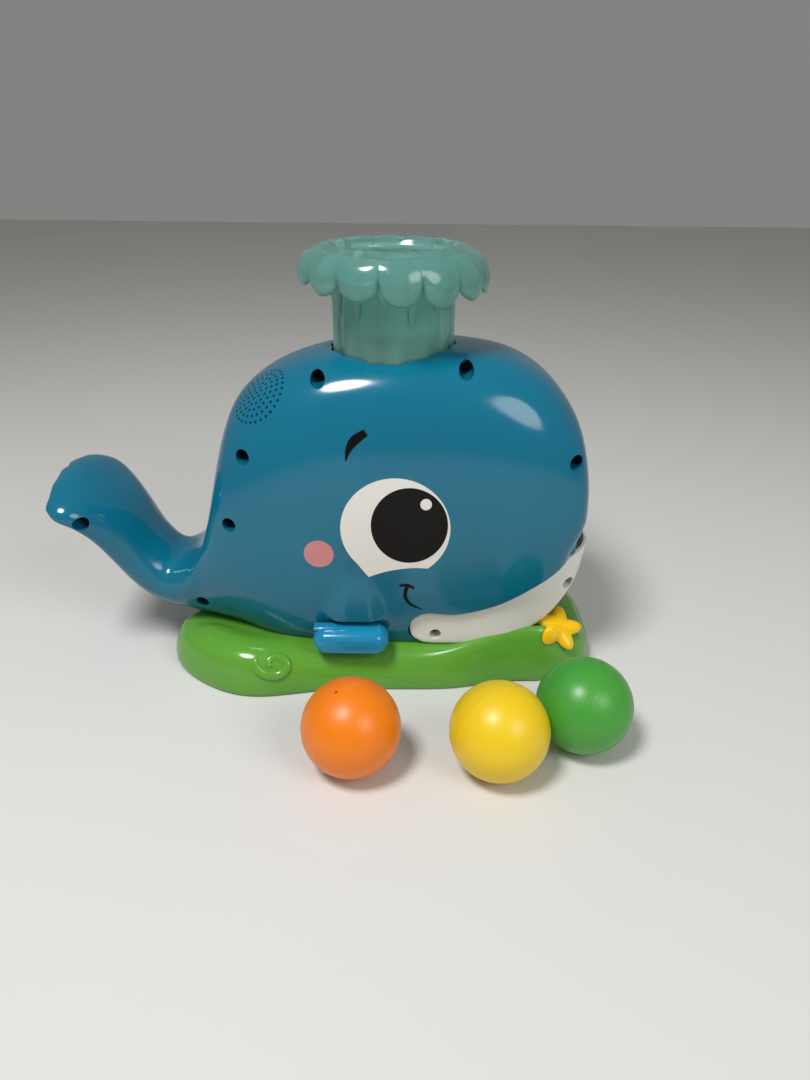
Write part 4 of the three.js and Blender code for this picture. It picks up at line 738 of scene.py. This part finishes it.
# %% [markdown]
# ## The spout
# The water spout is one moulding: a fluted tube whose rim rolls out into a ring of tongues, each with its own
# length. Its upright section is a curve that changes with the angle; drawn as loops that run right round the
# tube, from the bore over the rim and back to the foot, it closes into one skin. The crease between two
# tongues is sharp because each tongue falls away like the side of a circle, steepest at its edge. A flat drip
# runs down the tube below every crease.

# %% Spout section
SPOUT_BORE, SPOUT_R, SPOUT_FOOT_Z, RIM_Z = 30.2, 32.2, 168.3, 239.0
TONGUE_LENGTHS = [0.98, 1.04, 0.95, 1.0, 0.96, 1.05, 0.98, 1.03, 0.96, 1.0, 0.97, 1.0, 1.04, 0.97]
TONGUE_REACH, TONGUE_DROP, VALLEY, LONGEST_AT = 18.0, 21.5, 0.64, math.radians(-45)


def spout_section(angle, steps=72):
    phase = FLUTES * (angle - PETAL_PHASE)
    off_middle = abs((phase + math.pi) % (2 * math.pi) - math.pi) / math.pi
    tongue = max(0.0, 1 - off_middle ** 1.9) ** 0.55
    length = TONGUE_LENGTHS[round(phase / (2 * math.pi)) % FLUTES]
    flute = SPOUT_R + FLUTE_DEPTH * math.cos(phase)
    reach = SPOUT_R + TONGUE_REACH - 2.4 * (1 - tongue)
    drop = TONGUE_DROP * (VALLEY + (length - VALLEY) * tongue) * (1 + 0.16 * math.cos(angle - LONGEST_AT))
    crest = RIM_Z - 1.0 * (1 - tongue)
    outline = [
        (SPOUT_BORE, SPOUT_FOOT_Z), (SPOUT_BORE, 200), (SPOUT_BORE, RIM_Z - 9), (SPOUT_BORE + 1.0, RIM_Z - 3.6),
        (SPOUT_BORE + 3.6, crest - 0.3), (SPOUT_BORE + 8.5, crest - 0.04 * drop), (reach - 3.4, RIM_Z - 0.26 * drop),
        (reach, RIM_Z - 0.62 * drop), (reach - 0.6, RIM_Z - 0.9 * drop), (reach - 2.0, RIM_Z - drop),
        (reach - 3.6, RIM_Z - 0.9 * drop), (reach - 4.2, RIM_Z - 0.62 * drop), (SPOUT_R + 4, RIM_Z - 7),
        (flute + 0.8, RIM_Z - 13), (flute, RIM_Z - 20), (flute, 184), (31.8, 180.5), (31.8, 174),
        (31.8, SPOUT_FOOT_Z)]
    bend = curve_points([Vector((r, 0, z)) for r, z in outline], steps)
    return [Vector((p.x * math.cos(angle), p.x * math.sin(angle), p.z)) for p in bend]


# %% Spout
def spout_skin():
    bm = start()
    count = FLUTES * 24
    columns = [spout_section(PETAL_PHASE + 2 * math.pi * k / count) for k in range(count)]
    loft(bm, [list(ring) for ring in zip(*columns)], cap=False)
    bmesh.ops.bridge_loops(bm, edges=[e for e in bm.edges if e.is_boundary])
    return make_object(bm, "water_spout")


def spout_drips():
    bm = start()
    for k in range(FLUTES):
        angle = PETAL_PHASE + 2 * math.pi * (k + 0.5) / FLUTES
        out = Vector((math.cos(angle), math.sin(angle), 0))
        run = 15 + 5 * math.sin(2.4 * k)
        path = [out * (SPOUT_R + lift) + Vector((0, 0, z)) for lift, z in (
            (5.0, RIM_Z - 9), (2.0, RIM_Z - 13), (0.4, RIM_Z - 17 - 0.3 * run), (0.0, RIM_Z - 17 - 0.75 * run),
            (-0.4, RIM_Z - 17 - run))]
        radii = [4.4 * (1 - j / 16) ** 1.2 + 1.1 for j in range(17)]
        tube(bm, curve_points(path, 16), radii, sides=16, up=out, flat=0.5)
    return make_object(bm, "drips")


spout, drips = spout_skin(), spout_drips()
combine(spout, drips, "UNION")
drop(drips)
keep(spout, "toy", spout_pp, ["spout"], 40)

# %% [markdown]
# ## The jaw
# The white lower jaw is a thin-walled scoop in two halves. Its hull is a square-nosed loft; the side outline
# trims it to the smile line. A voxel remesh and a little smoothing then round every outer edge at once, the
# way a polished mould does, before the inside is taken out.

# %% Jaw hull
JAW_HALF, JAW_WALL, JAW_MIDDLE_X = 51.6, 2.2, 40.0
FRONT_SCREW, REAR_SCREW, REAR_SEAT_Y = (102, 58), (25.5, 31.5), -39
BASE_SCREWS = [(-88, -24), (60, -27), (-88, 24), (60, 27)]


def along_y(place, y):
    return Vector((place[0], y, place[1]))


def jaw_hull(name, wall, points=72):
    bm = start()
    rings = []
    for z in (DECK_Z - 4, DECK_Z + JAW_RIM_H / 2, DECK_Z + JAW_RIM_H + 6):
        lean = 1 - 0.1 * (DECK_Z + JAW_RIM_H - z) / JAW_RIM_H
        half = JAW_HALF * lean - wall
        ring = []
        for k in range(points + 1):
            along, across = superellipse(math.pi * (k / points - 0.5), 2.5)
            ring.append(Vector((JAW_MIDDLE_X + along * (JAW_TIP_X - wall - JAW_MIDDLE_X) * lean, across * half, z)))
        rings.append(ring + [Vector((0, half, z)), Vector((0, -half, z))])
    loft(bm, rings)
    return make_object(bm, name)


def jaw_side():
    nose = [(JAW_TIP_X - 0.7, JAW_RIM_Z - 1.0), (JAW_TIP_X - 0.2, JAW_RIM_Z - 4.2), (JAW_TIP_X, 69.9)]
    under = curve_points([Vector((x, 0, z)) for x, z in (
        (JAW_TIP_X, 69.9), (108, 56.4), (91, 39.1), (72, 28.9), (58, ON_DECK_Z))], 40)
    bm = start()
    prism(bm, jaw_round_end(0) + jaw_upper_edge(0) + nose + [(p.x, p.z) for p in under[1:]], -90, 90)
    return make_object(bm, "jaw_side")


def rounded(piece, voxel_mm, passes):
    soft = piece.modifiers.new("voxels", "REMESH")
    soft.mode = "VOXEL"
    soft.voxel_size = voxel_mm * MM
    ease = piece.modifiers.new("ease", "SMOOTH")
    ease.factor = 0.5
    ease.iterations = passes
    return apply_modifiers(piece)


side = jaw_side()
jaw_form = combine(jaw_hull("jaw_form", 0), side, "INTERSECT")
jaw = rounded(copy_of(jaw_form, "jaw"), 0.9, 8)
print("jaw form:", len(jaw.data.polygons), "faces")

# %% [markdown]
# Inside the scoop a sloping tray with low curbs rolls the balls back to the tube. A cross web under it and
# two bosses take the screws.

# %% Jaw tray, web and bosses
TRAY_HALF, TRAY_END_X = 28.0, 112.0
RISER_R, RISER_BORE, BALL_FLOOR_Z = 31.2, 29.0, 58.0


def tray_z(x):
    return BALL_FLOOR_Z + 0.06 * (x - RISER_R)


def tray_slab(name, below, above, half, end_x):
    bm = start()
    prism(bm, [(0, tray_z(0) - below), (end_x, tray_z(end_x) - below), (end_x, tray_z(end_x) + above),
               (0, tray_z(0) + above)], -half, half)
    return make_object(bm, name)


def jaw_bosses():
    bm = start()
    rod(bm, 4.2, along_y(FRONT_SCREW, -90), along_y(FRONT_SCREW, 90))
    rod(bm, 5.2, along_y(REAR_SCREW, -90), along_y(REAR_SCREW, REAR_SEAT_Y + 3.7))
    for x, y in BASE_SCREWS[1::2]:
        rod(bm, 4.2, Vector((x, y, ON_DECK_Z)), Vector((x, y, 39.3)))
    block(bm, (58.8, -90, ON_DECK_Z), (61.2, 90, tray_z(60) - 1))
    return make_object(bm, "jaw_bosses")


jaw_inside, tray_limit = jaw_hull("jaw_inside", JAW_WALL), jaw_hull("tray_limit", 0.5 * JAW_WALL)
combine(jaw, jaw_inside, "DIFFERENCE")
tray = combine(tray_slab("tray", 2, 6, TRAY_HALF + 2, TRAY_END_X), tray_limit, "INTERSECT")
gap = combine(tray_slab("tray_gap", 0, 60, TRAY_HALF, TRAY_END_X + 10), jaw_inside, "INTERSECT")
bosses = combine(combine(jaw_bosses(), tray_limit, "INTERSECT", True), jaw_form, "INTERSECT")
combine(jaw, tray, "UNION")
combine(jaw, bosses, "UNION")
combine(jaw, gap, "DIFFERENCE")
drop(jaw_inside, tray_limit, tray, gap, bosses, side, jaw_form)
print("jaw with tray:", len(jaw.data.polygons), "faces")


# %% Jaw wells and halves
def jaw_cuts():
    bm = start()
    rod(bm, RISER_R + 0.3, Vector((0, 0, 0)), Vector((0, 0, 200)), 128)
    rod(bm, 3.4, along_y(FRONT_SCREW, -90), along_y(FRONT_SCREW, SEAT_Y))
    rod(bm, 3.4, along_y(REAR_SCREW, -90), along_y(REAR_SCREW, REAR_SEAT_Y))
    return make_object(bm, "jaw_cuts")


cut = jaw_cuts()
combine(jaw, cut, "DIFFERENCE")
drop(cut)
for name, side_sign in (("right", -1), ("left", 1)):
    keep(half_of(jaw, name + "_jaw_half", side_sign), "toy", jaw_abs, [name + "_jaw"])
drop(jaw)

# %% [markdown]
# ## The sea bed
# The green base is an open-bottomed cup with a domed shoulder: a rounded, waisted outline whose rear end has
# a dent, drawn at many heights. The loops run down the inside first, then up the outside, where a soft lip
# swells beside the jaw and a pillow on the rear lobe; the inside stays plain. A spiral ridge, like a curled
# wave, lies on the near lobe: a tapered tube whose path is dropped onto the slope.

# %% Base outline
BASE_MIDDLE_X, BASE_HALF_LENGTH, BASE_HALF_DEPTH, BASE_WALL = -6.0, 129.0, 59.0, 2.4
BASE_PROFILE = [(0.0, 1.4), (0.1, 0.0), (0.36, 0.4), (0.6, 2.2), (0.8, 5.4), (0.94, 10.5), (1.0, 17.0),
                (1.0, 25.0), (1.0, 34.0)]
JAW_LIP, REAR_PILLOW = 14.5, 4.5


def base_ring(inset, z, points=240):
    ring = []
    for k in range(points):
        along, across = superellipse(2 * math.pi * k / points, 3.4)
        x = BASE_MIDDLE_X + along * (BASE_HALF_LENGTH - inset)
        lobe = 0.2 * math.exp(-((x + 86) / 38) ** 2)
        waist = 0.1 * math.exp(-((x - 68) / 24) ** 2)
        y = across * (BASE_HALF_DEPTH * (1 + lobe - waist) - inset)
        ring.append(Vector((x + max(0, -along) * 10 * math.exp(-((y - 4) / 13) ** 2), y, z)))
    return ring


def shoulder(ring, inset, rise):
    """Lift the shoulder into a soft lip beside the jaw and a pillow on the rear lobe."""
    risen = smoothstep(0.25, 0.8, rise)
    crest, pillow = risen * (1 - smoothstep(6, 15, inset)), risen * (1 - smoothstep(16, 34, inset))
    for p in ring:
        beside_jaw = smoothstep(12, 82, p.x) * (1 - 0.6 * smoothstep(86, 108, p.x))
        lift = JAW_LIP * crest * beside_jaw + REAR_PILLOW * pillow * math.exp(-((p.x + 92) / 32) ** 2)
        p.z += lift * smoothstep(22, 36, abs(p.y))
    return ring


def base_cup(name):
    bm = start()
    shape = curve_points([Vector((inset, 0, rise)) for rise, inset in BASE_PROFILE], 40)
    inside = [base_ring(p.x + BASE_WALL, min(max(p.z, 0), 1) * (DECK_Z - BASE_WALL)) for p in reversed(shape)]
    outside = [shoulder(base_ring(p.x, min(max(p.z, 0), 1) * DECK_Z), p.x, p.z) for p in shape]
    loft(bm, inside + outside)
    return make_object(bm, name)


base = base_cup("green_sea_bed")
deck = BVHTree.FromObject(base, bpy.context.evaluated_depsgraph_get())
print("base:", len(base.data.polygons), "faces")

# %% Swirl, ears and lug
SWIRL_AT, SWIRL_FACING, SWIRL_R = Vector((-66, -60, 18.5)), Vector((0, -0.809, 0.588)), 11.5
FLIPPER_X, PIVOT_Y, PIVOT_Z, PIN_BORE_R = -22.5, 35.0, 34.5, 1.8


def on_base(spot, facing):
    hit = deck.ray_cast((spot + 40 * facing) * MM, -facing)
    return hit[0] / MM if hit[0] else spot


def swirl():
    bm = start()
    right = Vector((1, 0, 0))
    rise = SWIRL_FACING.cross(right).normalized()
    path, radii = [], []
    for k in range(81):
        turn = 2 * math.pi * (0.6 - 1.25 * k / 80)
        radius = 2.6 + (SWIRL_R - 2.6) * k / 80
        spot = SWIRL_AT + radius * (math.cos(turn) * right + 0.75 * math.sin(turn) * rise)
        path.append(on_base(spot, SWIRL_FACING) - 0.5 * SWIRL_FACING)
        radii.append(2.0 + 0.9 * smoothstep(0, 0.5, k / 80) - 2.2 * smoothstep(0.8, 1, k / 80))
    tube(bm, path, radii, sides=16, up=SWIRL_FACING, flat=0.7)
    return make_object(bm, "swirl")


def base_fittings():
    bm = start()
    for side in (-1, 1):
        x0, x1 = sorted((FLIPPER_X + side * 15.3, FLIPPER_X + side * 18.3))
        block(bm, (x0, -PIVOT_Y - 3, DECK_Z - 1), (x1, -PIVOT_Y + 3, PIVOT_Z + 3))
    block(bm, (21.5, -35, DECK_Z - 1), (29.5, -30, 35.5))
    return make_object(bm, "base_fittings")


def pin_rod(bm, sides):
    rod(bm, PIN_BORE_R, Vector((-60, -PIVOT_Y, PIVOT_Z)), Vector((10, -PIVOT_Y, PIVOT_Z)), sides)


def base_bores():
    bm = start()
    pin_rod(bm, 24)
    rod(bm, 1.6, along_y(REAR_SCREW, -60), along_y(REAR_SCREW, 0), 24)
    for x, y in BASE_SCREWS:
        rod(bm, 1.6, Vector((x, y, 10)), Vector((x, y, 30)), 24)
    return make_object(bm, "base_bores")


for tool, operation in ((swirl(), "UNION"), (base_fittings(), "UNION"), (base_bores(), "DIFFERENCE")):
    combine(base, tool, operation, tool.name == "swirl")
    print("base after", tool.name, len(base.data.polygons), "faces")
    drop(tool)
keep(base, "toy", base_abs, ["base_shell"])

# %% [markdown]
# The starfish lies over the front edge of the base. It is a puffy cushion of plastic: rings that shrink
# towards the middle while they rise. Each point leans along one slanted direction towards the green slope, a
# millimetre or two at most, so the arms drape a little and still read as a star.

# %% Starfish
STAR_AT, STAR_FACING = Vector((97, -33, 23)), Vector((0.15, -0.5, 0.85)).normalized()


def starfish():
    bm = start()
    right = Vector((0, 1, 0)).cross(STAR_FACING).normalized()
    ahead = STAR_FACING.cross(right)
    middle = on_base(STAR_AT, STAR_FACING) + 3.0 * STAR_FACING
    levels = [(0.97, 0.4), (1.0, 0.9), (1.0, 1.5), (0.96, 2.4), (0.88, 3.2), (0.76, 3.9), (0.6, 4.4), (0.4, 4.8),
              (0.2, 5.0), (0.04, 5.05)]
    rings = []
    for size, lift in levels:
        ring = []
        for k in range(150):
            angle = 2 * math.pi * k / 150
            arm = (0.5 + 0.5 * math.cos(5 * (angle - 0.25))) ** 0.9
            reach = (9.0 + 5.9 * arm) * size
            spot = middle + reach * (math.cos(angle) * right + math.sin(angle) * ahead)
            sag = (on_base(spot, STAR_FACING) - spot).dot(STAR_FACING)
            ring.append(spot + (lift + min(2.5, max(-2.5, sag))) * STAR_FACING)
        rings.append(ring)
    loft(bm, rings)
    relax(bm, 3)
    return make_object(bm, "yellow_starfish")


keep(starfish(), "toy", star_abs, ["starfish"], 60)

# %% [markdown]
# ## The flippers
# The near flipper is the start key: a bull-nosed oval pad on a root that turns on a steel pin. Its far twin is
# fixed. The pad is a loft of rounded bars from the flank outwards, under a thin flat lip.

# %% Flipper pads
FLIPPER_Z, PAD_ROOT_Y, PAD_R, PAD_STRAIGHT = 33.5, 51.0, 8.0, 13.5


def pad_ring(inset, out):
    radius, ring = PAD_R - inset, []
    for k in range(96):
        angle = 2 * math.pi * k / 96
        end = math.copysign(PAD_STRAIGHT, math.cos(angle)) if abs(math.cos(angle)) > 1e-6 else 0.0
        ring.append(Vector((FLIPPER_X + end + radius * math.cos(angle), -PAD_ROOT_Y - out,
                            FLIPPER_Z + radius * math.sin(angle))))
    return ring


def flipper_pad():
    bm = start()
    steps = [(1.0, 0.0), (0.35, 0.35), (0.0, 1.2), (0.0, 4.5), (0.15, 6.2), (0.5, 7.8), (1.05, 9.3), (1.8, 10.6),
             (2.7, 11.6), (3.8, 12.35), (5.0, 12.8), (6.4, 13.0)]
    loft(bm, [pad_ring(inset, out) for inset, out in steps])
    pad = make_object(bm, "flipper_key")
    bm = start()
    verts = block(bm, (FLIPPER_X - 21, -PAD_ROOT_Y - 6.5, FLIPPER_Z + 5.6),
                  (FLIPPER_X + 17, -PAD_ROOT_Y, FLIPPER_Z + 8))
    soften(bm, verts, 0.9)
    lip = make_object(bm, "flipper_lip")
    combine(pad, lip, "UNION")
    drop(lip)
    return pad


def flipper_root(name, low_z, side):
    bm = start()
    y0, y1 = sorted((side * PIVOT_Y, side * (PAD_ROOT_Y + 4)))
    verts = block(bm, (FLIPPER_X - 15, y0, low_z), (FLIPPER_X + 15, y1, 37))
    if side < 0:
        rod(bm, 3.2, Vector((FLIPPER_X - 15, -PIVOT_Y, PIVOT_Z)), Vector((FLIPPER_X + 15, -PIVOT_Y, PIVOT_Z)))
    else:
        soften(bm, verts, 0.8)
    return make_object(bm, name)


def pin_bore():
    bm = start()
    pin_rod(bm, 32)
    return make_object(bm, "pin_bore")


flipper = flipper_pad()
far_flipper = mirrored(flipper, "far_flipper_pad")
near_root, far_root, bore = flipper_root("root", 32, -1), flipper_root("far_root", ON_DECK_Z, 1), pin_bore()
combine(combine(flipper, near_root, "UNION", True), bore, "DIFFERENCE")
combine(far_flipper, far_root, "UNION")
drop(near_root, far_root, bore)
keep(flipper, "flipper_body", flipper_abs, ["flipper"])
keep(far_flipper, "toy", flipper_abs, ["far_flipper"])

# %% [markdown]
# ## The balls
# Three hollow polyethylene balls, 50 mm across. A blow-moulded ball shows a faint line where the two mould
# halves met, with a pin hole on that line. The section is one curve from pole to pole, and a full spin turns
# it into the ball; the hole is drilled where the line passes near the top.

# %% Balls
BALLS = [("orange", -18.4, -121.0, orange_pe, 8, -15, 50), ("yellow", 55.2, -122.8, yellow_pe, -14, 20, 30),
         ("green", 101.2, -102.0, green_pe, -10, 18, 75)]
SEAM_RIDGE = 0.16


def ball_mesh(name, x, y, lean, sideways, turn):
    bm = start()
    section = []
    for k in range(97):
        polar = math.pi * k / 96
        seam = SEAM_RIDGE * math.exp(-((k - 48) / 0.8) ** 2)
        section.append(((BALL_R + seam) * math.sin(polar), (BALL_R + seam) * math.cos(polar)))
    turned(bm, section, 96)
    ball = make_object(bm, name)
    bm = start()
    rod(bm, 0.9, Vector((0, -BALL_R + 1.5, 0)), Vector((0, -BALL_R - 2, 0)), 20)
    vent = make_object(bm, "vent")
    combine(ball, vent, "DIFFERENCE")
    drop(vent)
    tilt = Matrix.Rotation(math.radians(lean), 4, "X") @ Matrix.Rotation(math.radians(sideways), 4, "Y")
    upright = Matrix.Rotation(math.radians(turn), 4, "Z") @ Matrix.Rotation(-math.pi / 2, 4, "X")
    ball.data.transform(Matrix.Translation(Vector((x, y, BALL_R)) * MM) @ tilt @ upright)
    return ball


for colour, x, y, finish, lean, sideways, turn in BALLS:
    ball = ball_mesh(colour + "_ball", x, y, lean, sideways, turn)
    keep(ball, colour + "_ball_body", finish, ["ball_" + colour], 50)

# %% [markdown]
# ## Screws
# Fourteen pan-head screws with a cross recess. Each is turned from its section, cut with a cross and moved to
# its seat; the move lies in the mesh, so every object stays at the origin.

# %% One screw
HEAD_GAP = 0.3
SCREWS = [("body_screw_%d" % (k + 1), 22, (x, SEAT_Y - HEAD_GAP, z), False) for k, (x, z) in enumerate(WELLS)]
SCREWS += [("jaw_screw_1", 22, along_y(FRONT_SCREW, SEAT_Y - HEAD_GAP), False),
           ("jaw_screw_2", 10, along_y(REAR_SCREW, REAR_SEAT_Y - HEAD_GAP), False)]
SCREWS += [("base_screw_%d" % (k + 1), 15, (x, y, 18.6), True) for k, (x, y) in enumerate(BASE_SCREWS)]
SCREWS += [("door_screw", 8, (-12.4, 0, 1.9), True)]


def screw_mesh(name, length, place, upright):
    """A screw along its own Z, its head below zero, turned to lie along Y or to stand upright."""
    bm = start()
    section = [(0.02, -1.6), (1.2, -1.56), (2.2, -1.35), (2.8, -0.95), (3.1, -0.4), (3.1, 0.0), (1.25, 0.0)]
    thread = int((length - 2.5) / 0.9)
    for k in range(thread):
        section += [(1.3, 0.9 * k + 0.25), (0.95, 0.9 * k + 0.7)]
    section += [(1.1, length - 2.0), (0.02, length)]
    turned(bm, section, 20)
    bmesh.ops.holes_fill(bm, edges=[e for e in bm.edges if e.is_boundary])
    screw = make_object(bm, name)
    bm = start()
    block(bm, (-1.7, -0.35, -3), (1.7, 0.35, -0.7))
    block(bm, (-0.35, -1.7, -3), (0.35, 1.7, -0.7))
    cross = make_object(bm, "cross")
    combine(screw, cross, "DIFFERENCE", True)
    drop(cross)
    turn = Matrix.Identity(4) if upright else Matrix.Rotation(-math.pi / 2, 4, "X")
    screw.data.transform(Matrix.Translation(Vector(place) * MM) @ turn)
    return screw


# %% All screws
for name, length, place, upright in SCREWS:
    keep(screw_mesh("visible_" + name, length, place, upright), "toy", steel, [name])
    low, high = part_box(name)
    print(name, [round(v / MM, 1) for v in low], [round(v / MM, 1) for v in high])

# %% [markdown]
# ## Knob and ball tube
# The red slide knob is a turned button on a stem, standing on the curve of the back. The ball tube stands
# under the spout, with a window towards the mouth, a notch for the blower's duct and an air hole in its floor.

# %% Knob
bm = start()
turned(bm, [(0.01, -8), (1.2, -8), (1.2, 0.6), (2.85, 0.6), (3.0, 0.75), (3.0, 1.5), (2.9, 2.1), (2.55, 2.75),
            (1.9, 3.25), (1.0, 3.53), (0.01, 3.6)], 48)
knob_turn = Matrix((KNOB_UP, KNOB_OUT.cross(KNOB_UP), KNOB_OUT)).transposed().to_4x4()
bmesh.ops.transform(bm, matrix=Matrix.Translation(KNOB_AT) @ knob_turn, verts=bm.verts)
keep(make_object(bm, "red_slide_knob"), "knob_body", knob_abs, ["power_knob"], 40)

# %% Ball tube
bm = start()
turned(bm, [(RISER_BORE, BALL_FLOOR_Z), (RISER_BORE, 168), (RISER_R, 168), (RISER_R, ON_DECK_Z),
            (RISER_BORE, ON_DECK_Z), (RISER_BORE, 55), (11, 55), (11, BALL_FLOOR_Z)], 96, close=True)
riser = make_object(bm, "ball_tube")
bm = start()
block(bm, (0, -26.5, BALL_FLOOR_Z), (60, 26.5, 116))
block(bm, (-60, -12.1, 20), (0, 12.1, 54.1))
riser_cuts = make_object(bm, "riser_cuts")
combine(riser, riser_cuts, "DIFFERENCE")
drop(riser_cuts)
keep(riser, "toy", jaw_abs, ["ball_riser"])

# %% [markdown]
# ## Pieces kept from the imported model
# The hidden works have the right shape already: blower, motor, switches, board, cells and the floor of the
# base. They only need the finish of their real material.

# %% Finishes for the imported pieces
KEPT = [
    (inner_abs, ["base_plate", "battery_door", "start_switch", "blower_housing", "blower_cover", "speaker",
                 "power_switch"]),
    (steel, ["battery_contact_right", "battery_contact_left", "flipper_pin", "flipper_spring", "motor",
             "motor_shaft"]),
    (cell_film, ["battery_1", "battery_2", "battery_3", "battery_4"]),
    (board_lacquer, ["circuit_board"]),
    (jaw_abs, ["fan"]),
]
for finish, names in KEPT:
    for name in names:
        mesh = frame["nodes"][name].data
        mesh.materials.clear()
        mesh.materials.append(finish)
    print(finish.name, "on", len(names), "packed pieces")

# %% [markdown]
# ## Floor and light
# A pale sheet of paper with a faint tooth lies under the toy. One soft lamp stands high on the left,
# a wide dim one fills from the right, and an even pale world keeps the shadows open, so each colour shows
# about as it is written.

# %% Floor
bm = start()
bmesh.ops.create_grid(bm, x_segments=2, y_segments=2, size=3000)
floor = make_object(bm, "floor")
floor.data.materials.append(moulded("matt_paper_pale", "DDDCD9", "D8D7D4", 0.85, cloud_mm=300, grain_mm=0.8))
print("floor ready")


# %% Lamps and world
def soft_lamp(name, place, aim, size, watts):
    lamp = bpy.data.objects.new(name, bpy.data.lights.new(name, "AREA"))
    lamp.data.shape = "DISK"
    lamp.data.size = size
    lamp.data.energy = watts
    lamp.location = place
    lamp.rotation_euler = (Vector(place) - Vector(aim)).to_track_quat("Z", "Y").to_euler()
    scene.collection.objects.link(lamp)


soft_lamp("key", (-0.35, -0.5, 1.1), (0.0, 0.0, 0.1), 0.32, 10.5)
soft_lamp("fill", (0.8, -0.9, 0.9), (0.0, 0.0, 0.1), 0.7, 6)
world = bpy.data.worlds.new("studio")
world.use_nodes = True
world.node_tree.nodes["Background"].inputs["Color"].default_value = linear("F4F4F2")
world.node_tree.nodes["Background"].inputs["Strength"].default_value = 0.25
scene.world = world
scene.view_settings.view_transform = "Standard"
print("light ready")
